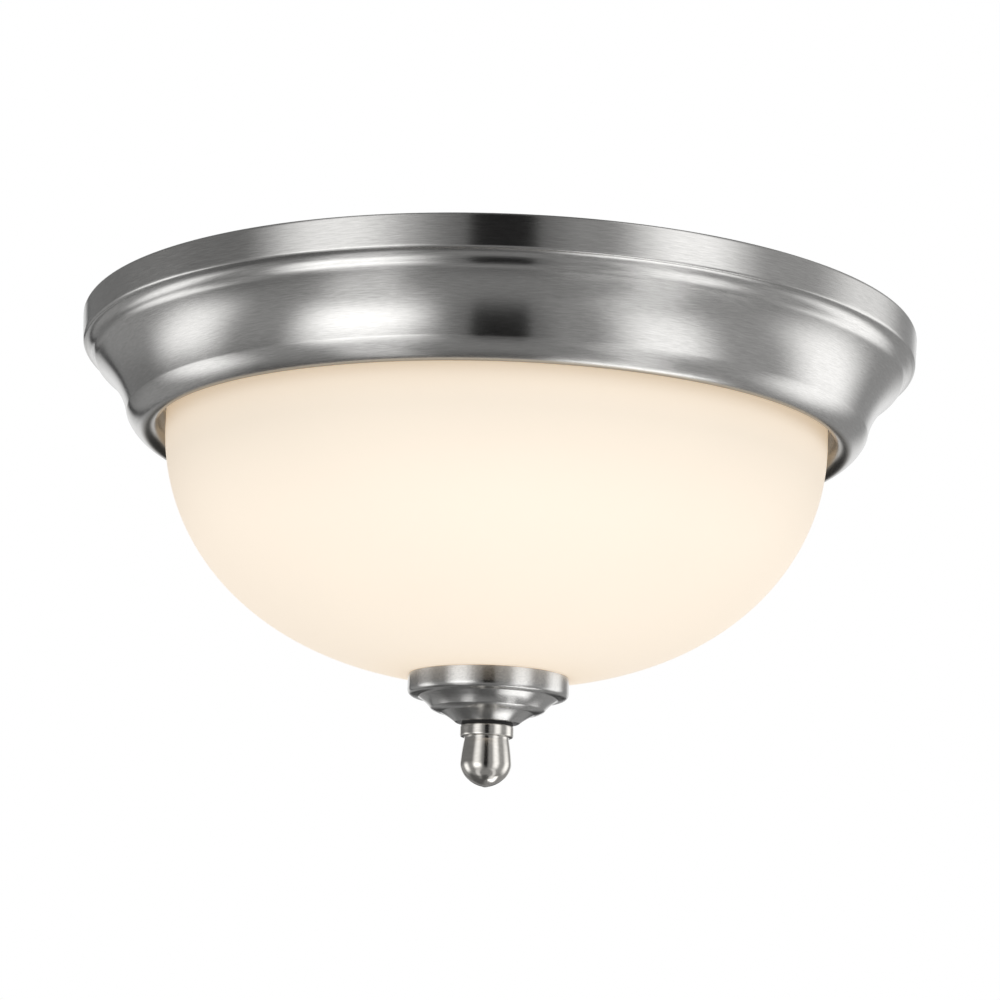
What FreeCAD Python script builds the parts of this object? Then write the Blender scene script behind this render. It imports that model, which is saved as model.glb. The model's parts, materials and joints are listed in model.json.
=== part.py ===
import FreeCAD, Part
import math
import os
from FreeCAD import Vector

# Flush mount ceiling light: a spun metal pan, an opal glass bowl hung on a
# threaded centre rod, and two screw-in bulbs inside.
# Millimetres. The origin is on the centre line in the ceiling plane, +Z is up,
# so every piece lies at z <= 0.

# clearances
running_gap = 0.05        # thread of the rod in the finial, and tip on its contact
seated_gap = 0.05         # a screw, stud or nut in its own hole
loose_gap = 0.4           # rod through the hanging pieces
rest_gap = 0.3            # glass rim under its seat
cap_gap = 0.35            # bulb cap inside the screw shell
cut_past = 1.0            # how far a cutting solid runs past the face that it opens

# glass bowl
glass_radius = 130.7
glass_wall = 3.2
glass_rim_height = 10.7   # straight rim above the curve
bowl_depth = 95.3
bowl_power_out = 2.32     # how full the bowl is near its side
bowl_power_down = 2.02    # how full the bowl is near its bottom
bowl_curve_steps = 24

# pan, from the lip beside the glass outwards and from the ceiling down
lip_gap = 2.6             # glass to lip
lip_roll_radius = 4.9
lip_width = 12.9
lip_height = 7.0
lip_bulge = 0.5
lip_turn = 52.0           # degrees below level where the tight roll begins
cove_width = 12.6
cove_height = 20.8
cove_hollow = 2.25
bead_width = 1.6
bead_height = 2.4
bead_bulge = 0.24
groove_width = 3.0        # hollow quarter round over the bead
groove_height = 3.0
groove_hollow = 0.55
edge_width = 1.2          # rolled lower edge of the band
edge_height = 1.0
edge_bulge = 0.27
band_height = 11.0
band_draw = 0.6
pan_wall = 0.9
recess_depth = 11.1       # ceiling to the back of the pan floor
seat_drop = 19.0          # pan floor to the glass seat
seat_width = 7.7
seat_bend = 2.0
floor_bend = 4.0
cone_width = 6.6

# insulation pad behind the pan floor
pad_below_ceiling = 1.5
pad_bushing_gap = 2.2     # wire bushings to the pad
pad_margin = 4.0

# crossbar on the outlet box
bar_past_stud = 6.0
bar_width = 24.0
bar_thickness = 1.6
bar_corner = 4.0
bar_centre_hole_radius = 5.1
box_slot_half_spacing = 39.6875
box_slot_length = 14.125
box_slot_radius = 2.3

# mounting studs and their nuts
stud_spacing = 108.0
stud_radius = 2.05
stud_in_cap_nut = 5.5
screw_below_ceiling = 0.1 # end of the studs and of the ground screw
lock_nut_flats = 8.7
lock_nut_height = 3.0
cap_nut_radius = 6.5
cap_nut_height = 8.0
cap_nut_neck_radius = 5.2
cap_nut_neck_height = 2.2
cap_nut_ribs = 24
cap_nut_rib_depth = 0.35

# ground screw, ground lead and the twist-on connectors
ground_screw_x = 24.0
ground_shank_radius = 2.3
ground_head_flats = 8.0
ground_head_height = 3.0
ground_flange_radius = 4.7
ground_flange_height = 0.8
ground_lead_radius = 0.9
ground_lead_tail = 1.5    # past the hook round the screw
connector_length = 18.0
connector_mouth_radius = 4.6
connector_tip_radius = 3.3
connector_tip_round = 1.5
connector_tip_taper = 1.2
connector_bore_radius = 3.4
connector_bore_depth = 9.0
connector_mouth_y = 26.0
connector_above_floor = 0.3

# leads and the bushings that they pass through
lead_radius = 1.1
lead_side = 1.4           # half the spacing of two leads side by side
lead_end_gap = 1.0        # bottom of a connector's bore to the leads' ends
lead_hole_gap = 0.2
lead_in_holder = 7.0
bushing_x = 62.0
bushing_y = 14.0
bushing_hole_radius = 6.35
bushing_bore_radius = 4.4
bushing_flange_radius = 8.2
bushing_flange_height = 1.4
bushing_snap_height = 2.4
bushing_snap_catch = 0.5
bushing_snap_taper = 1.0
bushing_flange_taper = 0.6

# centre rod with its nuts
rod_radius = 4.85
rod_bore_radius = 3.2
rod_above_nut = 1.7
rod_chamfer = 0.6
rod_in_finial = 8.4
rod_nut_flats = 14.3
rod_nut_height = 3.6
washer_radius = 8.0
washer_thickness = 0.8
washer_split = 1.2

# small cap (bobeche) under the glass
bobeche_radius = 31.5
bobeche_wall = 0.8
bobeche_band = 7.9
bobeche_corner = 2.2
bobeche_step_width = 4.3
bobeche_step_drop = 0.4
bobeche_lip_width = 1.0
bobeche_lip_drop = 1.7
bobeche_cone_width = 3.9
bobeche_cone_drop = 2.85
bobeche_cone_hollow = 0.2
bobeche_ring_width = 4.0
bobeche_ring_drop = 1.45
bobeche_ring_bulge = 0.25
bobeche_end_width = 5.9
bobeche_end_drop = 3.8
bobeche_end_hollow = 0.25
glass_touch_gap = 0.1

# rubber grommet in the glass hole
grommet_flange_radius = 11.0
grommet_flange_height = 1.5
grommet_touch_gap = 0.05
grommet_wall = 1.3

# fibre washer and finial
finial_washer_radius = 10.0
finial_washer_thickness = 1.0
finial_collar_radius = 10.4
finial_collar_height = 4.6
finial_collar_round = 0.9
finial_neck_cut = 1.7     # collar to neck
finial_neck_drop = 0.9
finial_neck_round = 0.3
finial_neck_bulge = 0.15
finial_belly_swell = 1.25 # neck to belly
finial_belly_drop = 9.8
finial_belly_bulge = 0.6
finial_shoulder_cut = 3.1 # belly to shoulder
finial_shoulder_drop = 5.5
finial_shoulder_bulge = 0.45
finial_point_radius = 1.3
finial_point_drop = 2.8
finial_tip_drop = 0.3
finial_bore_spare = 1.2

# lamp holder: local axis from the centre contact towards the bulb's end
bulb_beside_rod = 5.15    # side of the bulb to the rod
bulb_below_floor = 6.0    # top of the bulb to the pan floor
holder_radius = 19.0
holder_back = 8.0         # porcelain behind the cup
holder_cup_depth = 26.0
holder_wall = 4.6
holder_edge = 1.5
contact_height = 4.0      # cup floor to the centre contact
shell_wall = 0.35
shell_length = 22.0
shell_flange_width = 4.5
lead_hole_side = 13.0
lead_hole_rise = 4.0
tongue_width = 5.0
tongue_thickness = 0.4
tongue_base = 6.8
tongue_bend = 4.0
tongue_rise = 1.2
tongue_reach = 3.2
tongue_mitre = 0.28

# steel bracket under each holder
bracket_width = 16.0
bracket_thickness = 1.2
bracket_bend = 2.0
bracket_foot = 16.0
bracket_tail = 12.0       # below the holder axis
holder_screw_spread = 8.0
holder_screw_radius = 1.7
holder_screw_head_radius = 3.0
holder_screw_head_height = 1.8
holder_screw_head_round = 0.5
holder_screw_slot_depth = 0.7
holder_screw_slot_width = 0.8
holder_screw_depth = 5.0
rivet_radius = 1.6
rivet_head_radius = 3.0
rivet_head_height = 1.0
rivet_spread = 8.0

# bulb: the same local axis, from the tip contact
bulb_radius = 30.0
bulb_turn = 35.0          # degrees below the widest ring where the neck begins
bulb_neck_radius = 12.5
bulb_glass = 0.8
bulb_cap_crest = 13.05
bulb_cap_root = 12.75
bulb_cap_wall = 0.35
bulb_cap_gap = 0.15       # glass neck inside the cap
bulb_cap_start = 5.0
bulb_cap_shoulder = 2.0   # plain part before the thread
bulb_cap_collar = 3.5     # plain part behind the thread
bulb_cap_collar_rise = 1.0
bulb_thread_pitch = 3.629
bulb_thread_turns = 4
bulb_glass_in_cap = 3.5
bulb_insulator_radius = 11.8
bulb_insulator_rim = 0.5  # insulator around the tip
bulb_insulator_hollow = 0.6
bulb_tip_radius = 4.6
bulb_tip_height = 1.6
bulb_tip_flat = 2.4
bulb_tip_round = 0.7
bulb_tip_round_height = 0.5
stem_side_gap = 0.2
stem_set_back = 0.7       # neck's end to the stem's foot
stem_foot_height = 1.6
stem_flare_width = 1.5
stem_flare_height = 2.5
stem_flare_end = 7.0
stem_radius = 3.6
stem_length = 26.0
stem_point = 1.0
filament_radius = 0.45
filament_foot = 1.5       # half the spacing of the supports where they leave the stem
filament_in_stem = 2.0
filament_spread = 9.0
filament_rise = 16.0
filament_sag = 3.0
filament_bend = 1.6
filament_top_bend = 8.0

# places that follow from the sizes above
floor_back_z = -recess_depth
floor_z = floor_back_z - pan_wall
seat_z = floor_z - seat_drop
glass_top_z = seat_z - rest_gap
bowl_z = glass_top_z - glass_rim_height
glass_bottom_z = bowl_z - bowl_depth
lip_inner_radius = glass_radius + lip_gap
crease_radius = lip_inner_radius + lip_width
bead_radius = crease_radius + cove_width
groove_radius = bead_radius + bead_width
edge_radius = groove_radius + groove_width
band_radius = edge_radius + edge_width
rim_radius = band_radius + band_draw
edge_z = -band_height - edge_height
groove_z = edge_z - groove_height
bead_z = groove_z - bead_height
crease_z = bead_z - cove_height
lip_z = crease_z - lip_height
seat_inner_radius = lip_inner_radius - seat_width
floor_radius = seat_inner_radius - cone_width
pad_inner_radius = math.hypot(bushing_x, bushing_y) + bushing_flange_radius + pad_bushing_gap
stud_end_z = floor_z - stud_in_cap_nut
connector_z = floor_back_z + connector_above_floor + connector_mouth_radius
rod_hole_radius = rod_radius + seated_gap
hang_radius = rod_radius + loose_gap
glass_hole_radius = hang_radius + grommet_wall + grommet_touch_gap
bobeche_step_radius = bobeche_radius - bobeche_step_width
bobeche_lip_radius = bobeche_step_radius - bobeche_lip_width
bobeche_ring_radius = bobeche_lip_radius - bobeche_cone_width
bobeche_ring_end = bobeche_ring_radius - bobeche_ring_width
bobeche_end_radius = bobeche_ring_end - bobeche_end_width
finial_neck_radius = finial_collar_radius - finial_neck_cut
finial_belly_radius = finial_neck_radius + finial_belly_swell
finial_shoulder_radius = finial_belly_radius - finial_shoulder_cut
shell_inner_radius = bulb_cap_crest + cap_gap
shell_outer_radius = shell_inner_radius + shell_wall
bulb_thread_start = bulb_cap_start + bulb_cap_shoulder
bulb_thread_end = bulb_thread_start + bulb_thread_turns * bulb_thread_pitch
bulb_cap_end = bulb_thread_end + bulb_cap_collar_rise + bulb_cap_collar
bulb_neck_end = bulb_cap_end - bulb_glass_in_cap
bulb_turn_angle = math.radians(bulb_turn)
bulb_hollow = (bulb_radius * math.cos(bulb_turn_angle) - bulb_neck_radius) / (1 - math.cos(bulb_turn_angle))
bulb_centre = bulb_neck_end + (bulb_radius + bulb_hollow) * math.sin(bulb_turn_angle)
bulb_length = bulb_centre + bulb_radius
contact_x = bulb_length / 2.0
holder_side = rod_radius + bulb_beside_rod + bulb_radius
holder_z = floor_z - bulb_below_floor - bulb_radius
bracket_x = contact_x + contact_height + holder_back
lead_back_x = bracket_x - lead_in_holder
lead_back_y = holder_side - lead_hole_side
lead_end_y = connector_mouth_y + connector_bore_depth - lead_end_gap

up = Vector(0, 0, 1)
origin = Vector(0, 0, 0)


def line(start, end):
    return Part.LineSegment(start, end).toShape()


def arc(start, middle, end):
    return Part.Arc(start, middle, end).toShape()


def at(radius, z):
    # a point of an outline that is turned about Z
    return Vector(radius, 0, z)


def bulged(start, end, bulge):
    # arc between two outline points; for a run that goes down, a bulge above zero is outwards
    chord = end - start
    side = Vector(-chord.z, 0, chord.x).normalize()
    return arc(start, (start + end) * 0.5 + side * bulge, end)


def turned(edges):
    face = Part.Face(Part.Wire(edges))
    return face.revolve(origin, up, 360)


def closed(points):
    # straight outline through the points, back to the first
    return [line(a, b) for a, b in zip(points, points[1:] + points[:1])]


def ring(outer, inner, bottom, top):
    return turned(closed([at(inner, bottom), at(outer, bottom), at(outer, top), at(inner, top)]))


def cylinder(radius, bottom, top, x=0.0, y=0.0):
    return Part.makeCylinder(radius, top - bottom, Vector(x, y, bottom), up)


def box(low, high):
    size = high - low
    return Part.makeBox(size.x, size.y, size.z, low)


def rounded(points, radii):
    # straight runs through the points, with a tangent arc of its own radius at each inner point
    edges = []
    start = points[0]
    for before, corner, after, radius in zip(points, points[1:], points[2:], radii):
        incoming = (corner - before).normalize()
        outgoing = (after - corner).normalize()
        turn = incoming.getAngle(outgoing)
        reach = radius * math.tan(turn / 2)
        arc_start = corner - incoming * reach
        arc_end = corner + outgoing * reach
        inward = (outgoing - incoming).normalize()
        middle = corner + inward * (radius / math.cos(turn / 2) - radius)
        edges.append(line(start, arc_start))
        edges.append(arc(arc_start, middle, arc_end))
        start = arc_end
    edges.append(line(start, points[-1]))
    return edges


def sheet(edges, thickness):
    # face between an open outline and its parallel, then turned about Z
    wire = Part.Wire(edges)
    face = wire.makeOffset2D(thickness, join=0, fill=True, openResult=True)
    return face.revolve(origin, up, 360)


def hexagon(flats, bottom, top, x=0.0, y=0.0):
    reach = flats / math.sqrt(3)
    corners = [Vector(x + reach * math.cos(math.radians(60 * k)),
                      y + reach * math.sin(math.radians(60 * k)), bottom) for k in range(6)]
    return Part.Face(Part.Wire(closed(corners))).extrude(Vector(0, 0, top - bottom))


def half_turned(shape):
    # the copy on the other side of the rod
    copy = shape.copy()
    copy.rotate(origin, up, 180)
    return copy


def along(radius, points):
    # a lead along the points, each bend as large as its two runs allow
    radii = []
    for before, corner, after in zip(points, points[1:], points[2:]):
        run = min((corner - before).Length, (after - corner).Length)
        turn = (corner - before).getAngle(after - corner)
        radii.append(0.45 * run / math.tan(turn / 2))
    path = Part.Wire(rounded(points, radii))
    start = points[0]
    section = Part.Wire(Part.makeCircle(radius, start, points[1] - start))
    lead = path.makePipeShell([section], True, False)
    share = lead.Volume / (math.pi * radius ** 2 * path.Length)
    print("lead radii", [round(r, 1) for r in radii], "volume share", round(share, 4))
    return lead


def in_holder(shape):
    # from the holder's own axis to its place beside the rod
    turn = FreeCAD.Rotation(Vector(0, -1, 0), Vector(0, 0, 1), Vector(-1, 0, 0), "ZXY")
    placed = shape.copy()
    placed.Placement = FreeCAD.Placement(Vector(contact_x, holder_side, holder_z), turn)
    return placed


def bowl_edge(side, depth, bottom_radius):
    # the bowl's curve from its straight rim in to bottom_radius, for one face of the glass
    start = math.asin(min(1.0, (bottom_radius / side) ** (bowl_power_out / 2.0)))
    points = []
    for k in range(bowl_curve_steps + 1):
        # even steps of the angle crowd the points where the curve turns most
        angle = math.pi / 2 + (start - math.pi / 2) * k / bowl_curve_steps
        radius = side * math.sin(angle) ** (2.0 / bowl_power_out)
        drop = depth * math.cos(angle) ** (2.0 / bowl_power_down) if k else 0.0
        points.append(at(radius, bowl_z - drop))
    curve = Part.BSplineCurve()
    curve.interpolate(points, InitialTangent=Vector(0, 0, -1), FinalTangent=points[-1] - points[-2])
    return curve.toShape(), points[-1]


def bowl_surface_z(radius, side, depth):
    return bowl_z - depth * (1 - (radius / side) ** bowl_power_out) ** (1 / bowl_power_down)


def make_glass_shade():
    outer, outer_end = bowl_edge(glass_radius, bowl_depth, glass_hole_radius)
    inner_side = glass_radius - glass_wall
    inner, inner_end = bowl_edge(inner_side, bowl_depth - glass_wall, glass_hole_radius)
    edges = [
        line(at(glass_radius, glass_top_z), at(glass_radius, bowl_z)),
        outer,
        line(outer_end, inner_end),
        inner,
        line(at(inner_side, bowl_z), at(inner_side, glass_top_z)),
        line(at(inner_side, glass_top_z), at(glass_radius, glass_top_z)),
    ]
    return turned(edges)


def make_pan():
    roll_centre_radius = lip_inner_radius + lip_roll_radius
    roll_centre_z = lip_z + lip_roll_radius

    def on_roll(degrees):
        angle = math.radians(degrees)
        return at(roll_centre_radius + lip_roll_radius * math.cos(angle),
                  roll_centre_z + lip_roll_radius * math.sin(angle))

    band_end = at(band_radius, -band_height)
    edge_end = at(edge_radius, edge_z)
    groove = at(groove_radius, groove_z)
    bead_end = at(bead_radius, bead_z)
    crease = at(crease_radius, crease_z)
    roll_start = on_roll(-lip_turn)
    roll_end = on_roll(-180)
    inside = rounded(
        [roll_end,
         at(lip_inner_radius, seat_z),
         at(seat_inner_radius, seat_z),
         at(floor_radius, floor_z),
         at(rod_hole_radius, floor_z)],
        [seat_bend, seat_bend, floor_bend])
    past_rim = at(rim_radius + band_draw * cut_past / band_height, cut_past)
    edges = [
        line(past_rim, band_end),
        bulged(band_end, edge_end, edge_bulge),
        bulged(edge_end, groove, -groove_hollow),
        bulged(groove, bead_end, bead_bulge),
        bulged(bead_end, crease, -cove_hollow),
        bulged(crease, roll_start, lip_bulge),
        arc(roll_start, on_roll(-(lip_turn + 180) / 2), roll_end),
    ]
    pan = sheet(edges + inside, -pan_wall)
    # the rim is cut off flat where it meets the ceiling
    pan = pan.cut(cylinder(past_rim.x + cut_past, 0, 2 * cut_past))
    low = floor_z - cut_past
    high = floor_back_z + cut_past
    holes = [cylinder(stud_radius + loose_gap, low, high, stud_spacing / 2),
             cylinder(bushing_hole_radius, low, high, bushing_x, bushing_y)]
    for x, y in rivet_places():
        holes.append(cylinder(rivet_radius + seated_gap, low, high, x, y))
    for hole in holes:
        pan = pan.cut(hole).cut(half_turned(hole))
    return pan


def rivet_places():
    x = bracket_x + bracket_foot / 2 + bracket_bend
    return [(x, holder_side - rivet_spread / 2), (x, holder_side + rivet_spread / 2)]


def make_insulation_pad():
    outer = floor_radius - pad_margin
    pad = ring(outer, pad_inner_radius, floor_back_z, -pad_below_ceiling)
    for x, y in rivet_places():
        room = cylinder(rivet_head_radius + rest_gap, floor_back_z - cut_past,
                        floor_back_z + rivet_head_height + rest_gap, x, y)
        pad = pad.cut(room).cut(half_turned(room))
    return pad


def make_crossbar():
    half = stud_spacing / 2 + bar_past_stud
    side = bar_width / 2
    bar = box(Vector(-half, -side, -bar_thickness), Vector(half, side, 0))
    bar = bar.makeFillet(bar_corner, [e for e in bar.Edges if abs(e.tangentAt(0).z) > 0.9])
    straight = box_slot_length / 2 - box_slot_radius
    low = -bar_thickness - cut_past
    cuts = [cylinder(bar_centre_hole_radius, low, cut_past)]
    cuts.append(cylinder(ground_shank_radius + seated_gap, low, cut_past, ground_screw_x))
    for direction in (-1, 1):
        centre = direction * box_slot_half_spacing
        cuts.append(box(Vector(centre - straight, -box_slot_radius, low),
                        Vector(centre + straight, box_slot_radius, cut_past)))
        cuts.append(cylinder(box_slot_radius, low, cut_past, centre - straight))
        cuts.append(cylinder(box_slot_radius, low, cut_past, centre + straight))
        cuts.append(cylinder(stud_radius + seated_gap, low, cut_past, direction * stud_spacing / 2))
    for piece in cuts:
        bar = bar.cut(piece)
    return bar.removeSplitter()


def make_mounting_studs():
    stud = cylinder(stud_radius, stud_end_z, -screw_below_ceiling, stud_spacing / 2)
    return [stud, half_turned(stud)]


def make_stud_lock_nuts():
    x = stud_spacing / 2
    nut = hexagon(lock_nut_flats, -bar_thickness - lock_nut_height, -bar_thickness, x)
    nut = nut.cut(cylinder(stud_radius + seated_gap, -recess_depth, 0, x))
    return [nut, half_turned(nut)]


def make_cap_nuts():
    # closed knurled nuts that hold the pan up on the studs
    x = stud_spacing / 2
    neck_z = floor_z - cap_nut_neck_height
    bottom = floor_z - cap_nut_height
    nut = cylinder(cap_nut_neck_radius, neck_z, floor_z, x).fuse(cylinder(cap_nut_radius, bottom, neck_z, x))
    for k in range(cap_nut_ribs):
        angle = 2 * math.pi * k / cap_nut_ribs
        groove_x = x + (cap_nut_radius + cap_nut_rib_depth) * math.cos(angle)
        groove_y = (cap_nut_radius + cap_nut_rib_depth) * math.sin(angle)
        nut = nut.cut(cylinder(2 * cap_nut_rib_depth, bottom - cut_past, neck_z, groove_x, groove_y))
    nut = nut.cut(cylinder(stud_radius + seated_gap, stud_end_z - rest_gap, floor_z, x))
    return [nut, half_turned(nut)]


def make_ground_screw():
    head_top = -bar_thickness - 2 * ground_lead_radius
    flange_z = head_top - ground_flange_height
    shank = cylinder(ground_shank_radius, head_top, -screw_below_ceiling, ground_screw_x)
    flange = cylinder(ground_flange_radius, flange_z, head_top, ground_screw_x)
    head = hexagon(ground_head_flats, flange_z - ground_head_height, flange_z, ground_screw_x)
    return shank.fuse(flange).fuse(head)


def make_ground_lead():
    # bare copper: hooked round the screw's shank, then back to its connector
    bend = ground_shank_radius + ground_lead_radius + seated_gap
    z = -bar_thickness - ground_lead_radius
    left = Vector(ground_screw_x - bend, 0, z)
    right = Vector(ground_screw_x + bend, 0, z)
    tail = left + Vector(0, -ground_lead_tail, 0)
    x = right.x
    edges = [line(tail, left), arc(left, Vector(ground_screw_x, bend, z), right)]
    points = [right,
              Vector(x, -8, z),
              Vector(x, -17, connector_z),
              Vector(x, -lead_end_y, connector_z)]
    edges += rounded(points, [14.0, 14.0])
    section = Part.Wire(Part.makeCircle(ground_lead_radius, tail, Vector(0, 1, 0)))
    path = Part.Wire(edges)
    lead = path.makePipeShell([section], True, False)
    share = lead.Volume / (math.pi * ground_lead_radius ** 2 * path.Length)
    print("ground lead volume share", round(share, 4))
    return lead


def make_connector():
    # twist-on connector along +Y, mouth towards the crossbar
    tip = connector_length
    outer = [at(0, 0), at(connector_mouth_radius, 0), at(connector_tip_radius, tip - connector_tip_round),
             at(connector_tip_radius - connector_tip_taper, tip), at(0, tip)]
    shape = turned(closed(outer))
    shape = shape.cut(cylinder(connector_bore_radius, -cut_past, connector_bore_depth))
    shape.rotate(origin, Vector(1, 0, 0), -90)
    shape.translate(Vector(0, connector_mouth_y, connector_z))
    return shape


def make_wire_connectors():
    live = make_connector()
    neutral = half_turned(live)
    ground = neutral.copy()
    ground.translate(Vector(ground_screw_x + ground_shank_radius + ground_lead_radius + seated_gap, 0, 0))
    return [live, neutral, ground]


def make_centre_rod():
    bottom = finial_top_z() - rod_in_finial
    top = floor_back_z + washer_thickness + rod_nut_height + rod_above_nut
    outline = [at(rod_bore_radius, bottom), at(rod_radius - rod_chamfer, bottom),
               at(rod_radius, bottom + rod_chamfer), at(rod_radius, top - rod_chamfer),
               at(rod_radius - rod_chamfer, top), at(rod_bore_radius, top)]
    return turned(closed(outline))


def make_rod_lock_washers():
    # one split washer on each side of the pan floor
    washers = []
    for bottom in (floor_back_z, floor_z - washer_thickness):
        washer = ring(washer_radius, rod_hole_radius, bottom, bottom + washer_thickness)
        slit = box(Vector(0, -washer_split / 2, bottom - cut_past),
                   Vector(washer_radius + cut_past, washer_split / 2, bottom + washer_thickness + cut_past))
        washers.append(washer.cut(slit))
    return washers


def make_rod_nuts():
    upper = floor_back_z + washer_thickness
    lower = floor_z - washer_thickness - rod_nut_height
    nuts = []
    for bottom in (upper, lower):
        top = bottom + rod_nut_height
        nut = hexagon(rod_nut_flats, bottom, top)
        nuts.append(nut.cut(cylinder(rod_hole_radius, bottom - cut_past, top + cut_past)))
    return nuts


def make_wire_bushings():
    # snap-in bushing: flange on the back of the floor, snap ring below it
    top = floor_back_z + bushing_flange_height
    bottom = floor_z - bushing_snap_height
    body = bushing_hole_radius - seated_gap
    catch_z = floor_z - seated_gap
    outline = [at(bushing_bore_radius, bottom), at(body - bushing_snap_taper, bottom),
               at(body + bushing_snap_catch, catch_z), at(body, catch_z), at(body, floor_back_z),
               at(bushing_flange_radius, floor_back_z), at(bushing_flange_radius - bushing_flange_taper, top),
               at(bushing_bore_radius, top)]
    bushing = turned(closed(outline))
    bushing.translate(Vector(bushing_x, bushing_y, 0))
    return [bushing, half_turned(bushing)]


def make_holder_body():
    back = -contact_height - holder_back
    floor = -contact_height
    mouth = floor + holder_cup_depth
    cup = holder_radius - holder_wall
    outline = [at(0, back), at(holder_radius - holder_edge, back), at(holder_radius, back + holder_edge),
               at(holder_radius, mouth - holder_edge), at(holder_radius - holder_edge, mouth),
               at(cup, mouth), at(cup, floor), at(0, floor)]
    body = turned(closed(outline))
    for rise in (-lead_hole_rise, lead_hole_rise):
        body = body.cut(cylinder(lead_radius + lead_hole_gap, back - cut_past, floor + cut_past,
                                 lead_hole_side, rise))
    for rise in (-holder_screw_spread, holder_screw_spread):
        body = body.cut(cylinder(holder_screw_radius + seated_gap, back - cut_past,
                                 back + holder_screw_depth + seated_gap, 0, rise))
    return body


def make_screw_shell():
    floor = -contact_height
    top = floor + shell_length
    inner_flange = shell_outer_radius - shell_flange_width
    outline = [at(inner_flange, floor), at(shell_outer_radius, floor), at(shell_outer_radius, top),
               at(shell_inner_radius, top), at(shell_inner_radius, floor + shell_wall),
               at(inner_flange, floor + shell_wall)]
    return turned(closed(outline))


def make_centre_contact():
    # springy brass tongue from the cup floor to the bulb's tip
    low = -contact_height
    high = -running_gap - tongue_thickness
    left = -tongue_width / 2
    outline = [Vector(left, -tongue_base, low), Vector(left, -tongue_bend + tongue_mitre, low),
               Vector(left, -tongue_rise + tongue_mitre, high), Vector(left, tongue_reach, high),
               Vector(left, tongue_reach, high + tongue_thickness),
               Vector(left, -tongue_rise - tongue_mitre, high + tongue_thickness),
               Vector(left, -tongue_bend - tongue_mitre, low + tongue_thickness),
               Vector(left, -tongue_base, low + tongue_thickness)]
    return Part.Face(Part.Wire(closed(outline))).extrude(Vector(tongue_width, 0, 0))


def make_bracket():
    # L-shaped strip: foot under the pan floor, upright behind the holder
    foot_end = bracket_x + bracket_thickness + bracket_foot
    middle = bracket_thickness / 2
    low = holder_z - bracket_tail
    points = [Vector(foot_end, 0, floor_z - middle), Vector(bracket_x + middle, 0, floor_z - middle),
              Vector(bracket_x + middle, 0, low)]
    path = Part.Wire(rounded(points, [bracket_bend]))
    section_low = Vector(foot_end, holder_side - bracket_width / 2, floor_z - bracket_thickness)
    section = Part.Wire(closed([section_low,
                                section_low + Vector(0, bracket_width, 0),
                                section_low + Vector(0, bracket_width, bracket_thickness),
                                section_low + Vector(0, 0, bracket_thickness)]))
    path.translate(Vector(0, holder_side, 0))
    bracket = path.makePipeShell([section], True, False)
    for x, y in rivet_places():
        bracket = bracket.cut(cylinder(rivet_radius + seated_gap, floor_z - bracket_thickness - cut_past,
                                       floor_z + cut_past, x, y))
    for rise in (-holder_screw_spread, holder_screw_spread):
        hole = Part.makeCylinder(holder_screw_radius + seated_gap, bracket_thickness + 2 * cut_past,
                                 Vector(bracket_x - cut_past, holder_side, holder_z + rise), Vector(1, 0, 0))
        bracket = bracket.cut(hole)
    return bracket


def make_rivets():
    # through the pan floor and the bracket's foot, headed on both sides
    low = floor_z - bracket_thickness
    rivets = []
    for x, y in rivet_places():
        rivet = cylinder(rivet_radius, low - rivet_head_height, floor_back_z + rivet_head_height, x, y)
        rivet = rivet.fuse(cylinder(rivet_head_radius, low - rivet_head_height, low, x, y))
        rivet = rivet.fuse(cylinder(rivet_head_radius, floor_back_z, floor_back_z + rivet_head_height, x, y))
        rivets += [rivet, half_turned(rivet)]
    return rivets


def make_holder_screws():
    screws = []
    for rise in (-holder_screw_spread, holder_screw_spread):
        head_start = Vector(bracket_x + bracket_thickness, holder_side, holder_z + rise)
        axis = Vector(1, 0, 0)
        head = Part.makeCylinder(holder_screw_head_radius, holder_screw_head_height, head_start, axis)
        head = head.makeFillet(holder_screw_head_round, [head.Edges[0]])
        shank_start = Vector(bracket_x - holder_screw_depth, holder_side, holder_z + rise)
        shank_length = holder_screw_depth + bracket_thickness
        shank = Part.makeCylinder(holder_screw_radius, shank_length, shank_start, axis)
        side = holder_screw_head_radius + cut_past
        half = holder_screw_slot_width / 2
        slot = box(head_start + Vector(holder_screw_head_height - holder_screw_slot_depth, -side, -half),
                   head_start + Vector(holder_screw_head_height + cut_past, side, half))
        screw = head.fuse(shank).cut(slot)
        screws += [screw, half_turned(screw)]
    return screws


def make_short_lead():
    # from the holder's back, up through the bushing, to the connector on its own side
    y = lead_back_y
    x = bushing_x
    level = connector_z
    through_y = bushing_y + lead_side
    points = [Vector(lead_back_x, y, holder_z + lead_hole_rise),
              Vector(bracket_x + 14, y, holder_z + lead_hole_rise),
              Vector(bracket_x + 16, y - 9, holder_z + 22),
              Vector(x, through_y, floor_z - 11),
              Vector(x, through_y, level),
              Vector(x - 17, through_y + 6, level),
              Vector(x - 34, through_y + 3, level),
              Vector(x - 49, through_y - 4, level),
              Vector(lead_side, through_y + 1, level),
              Vector(lead_side, lead_end_y, level)]
    return along(lead_radius, points)


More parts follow.
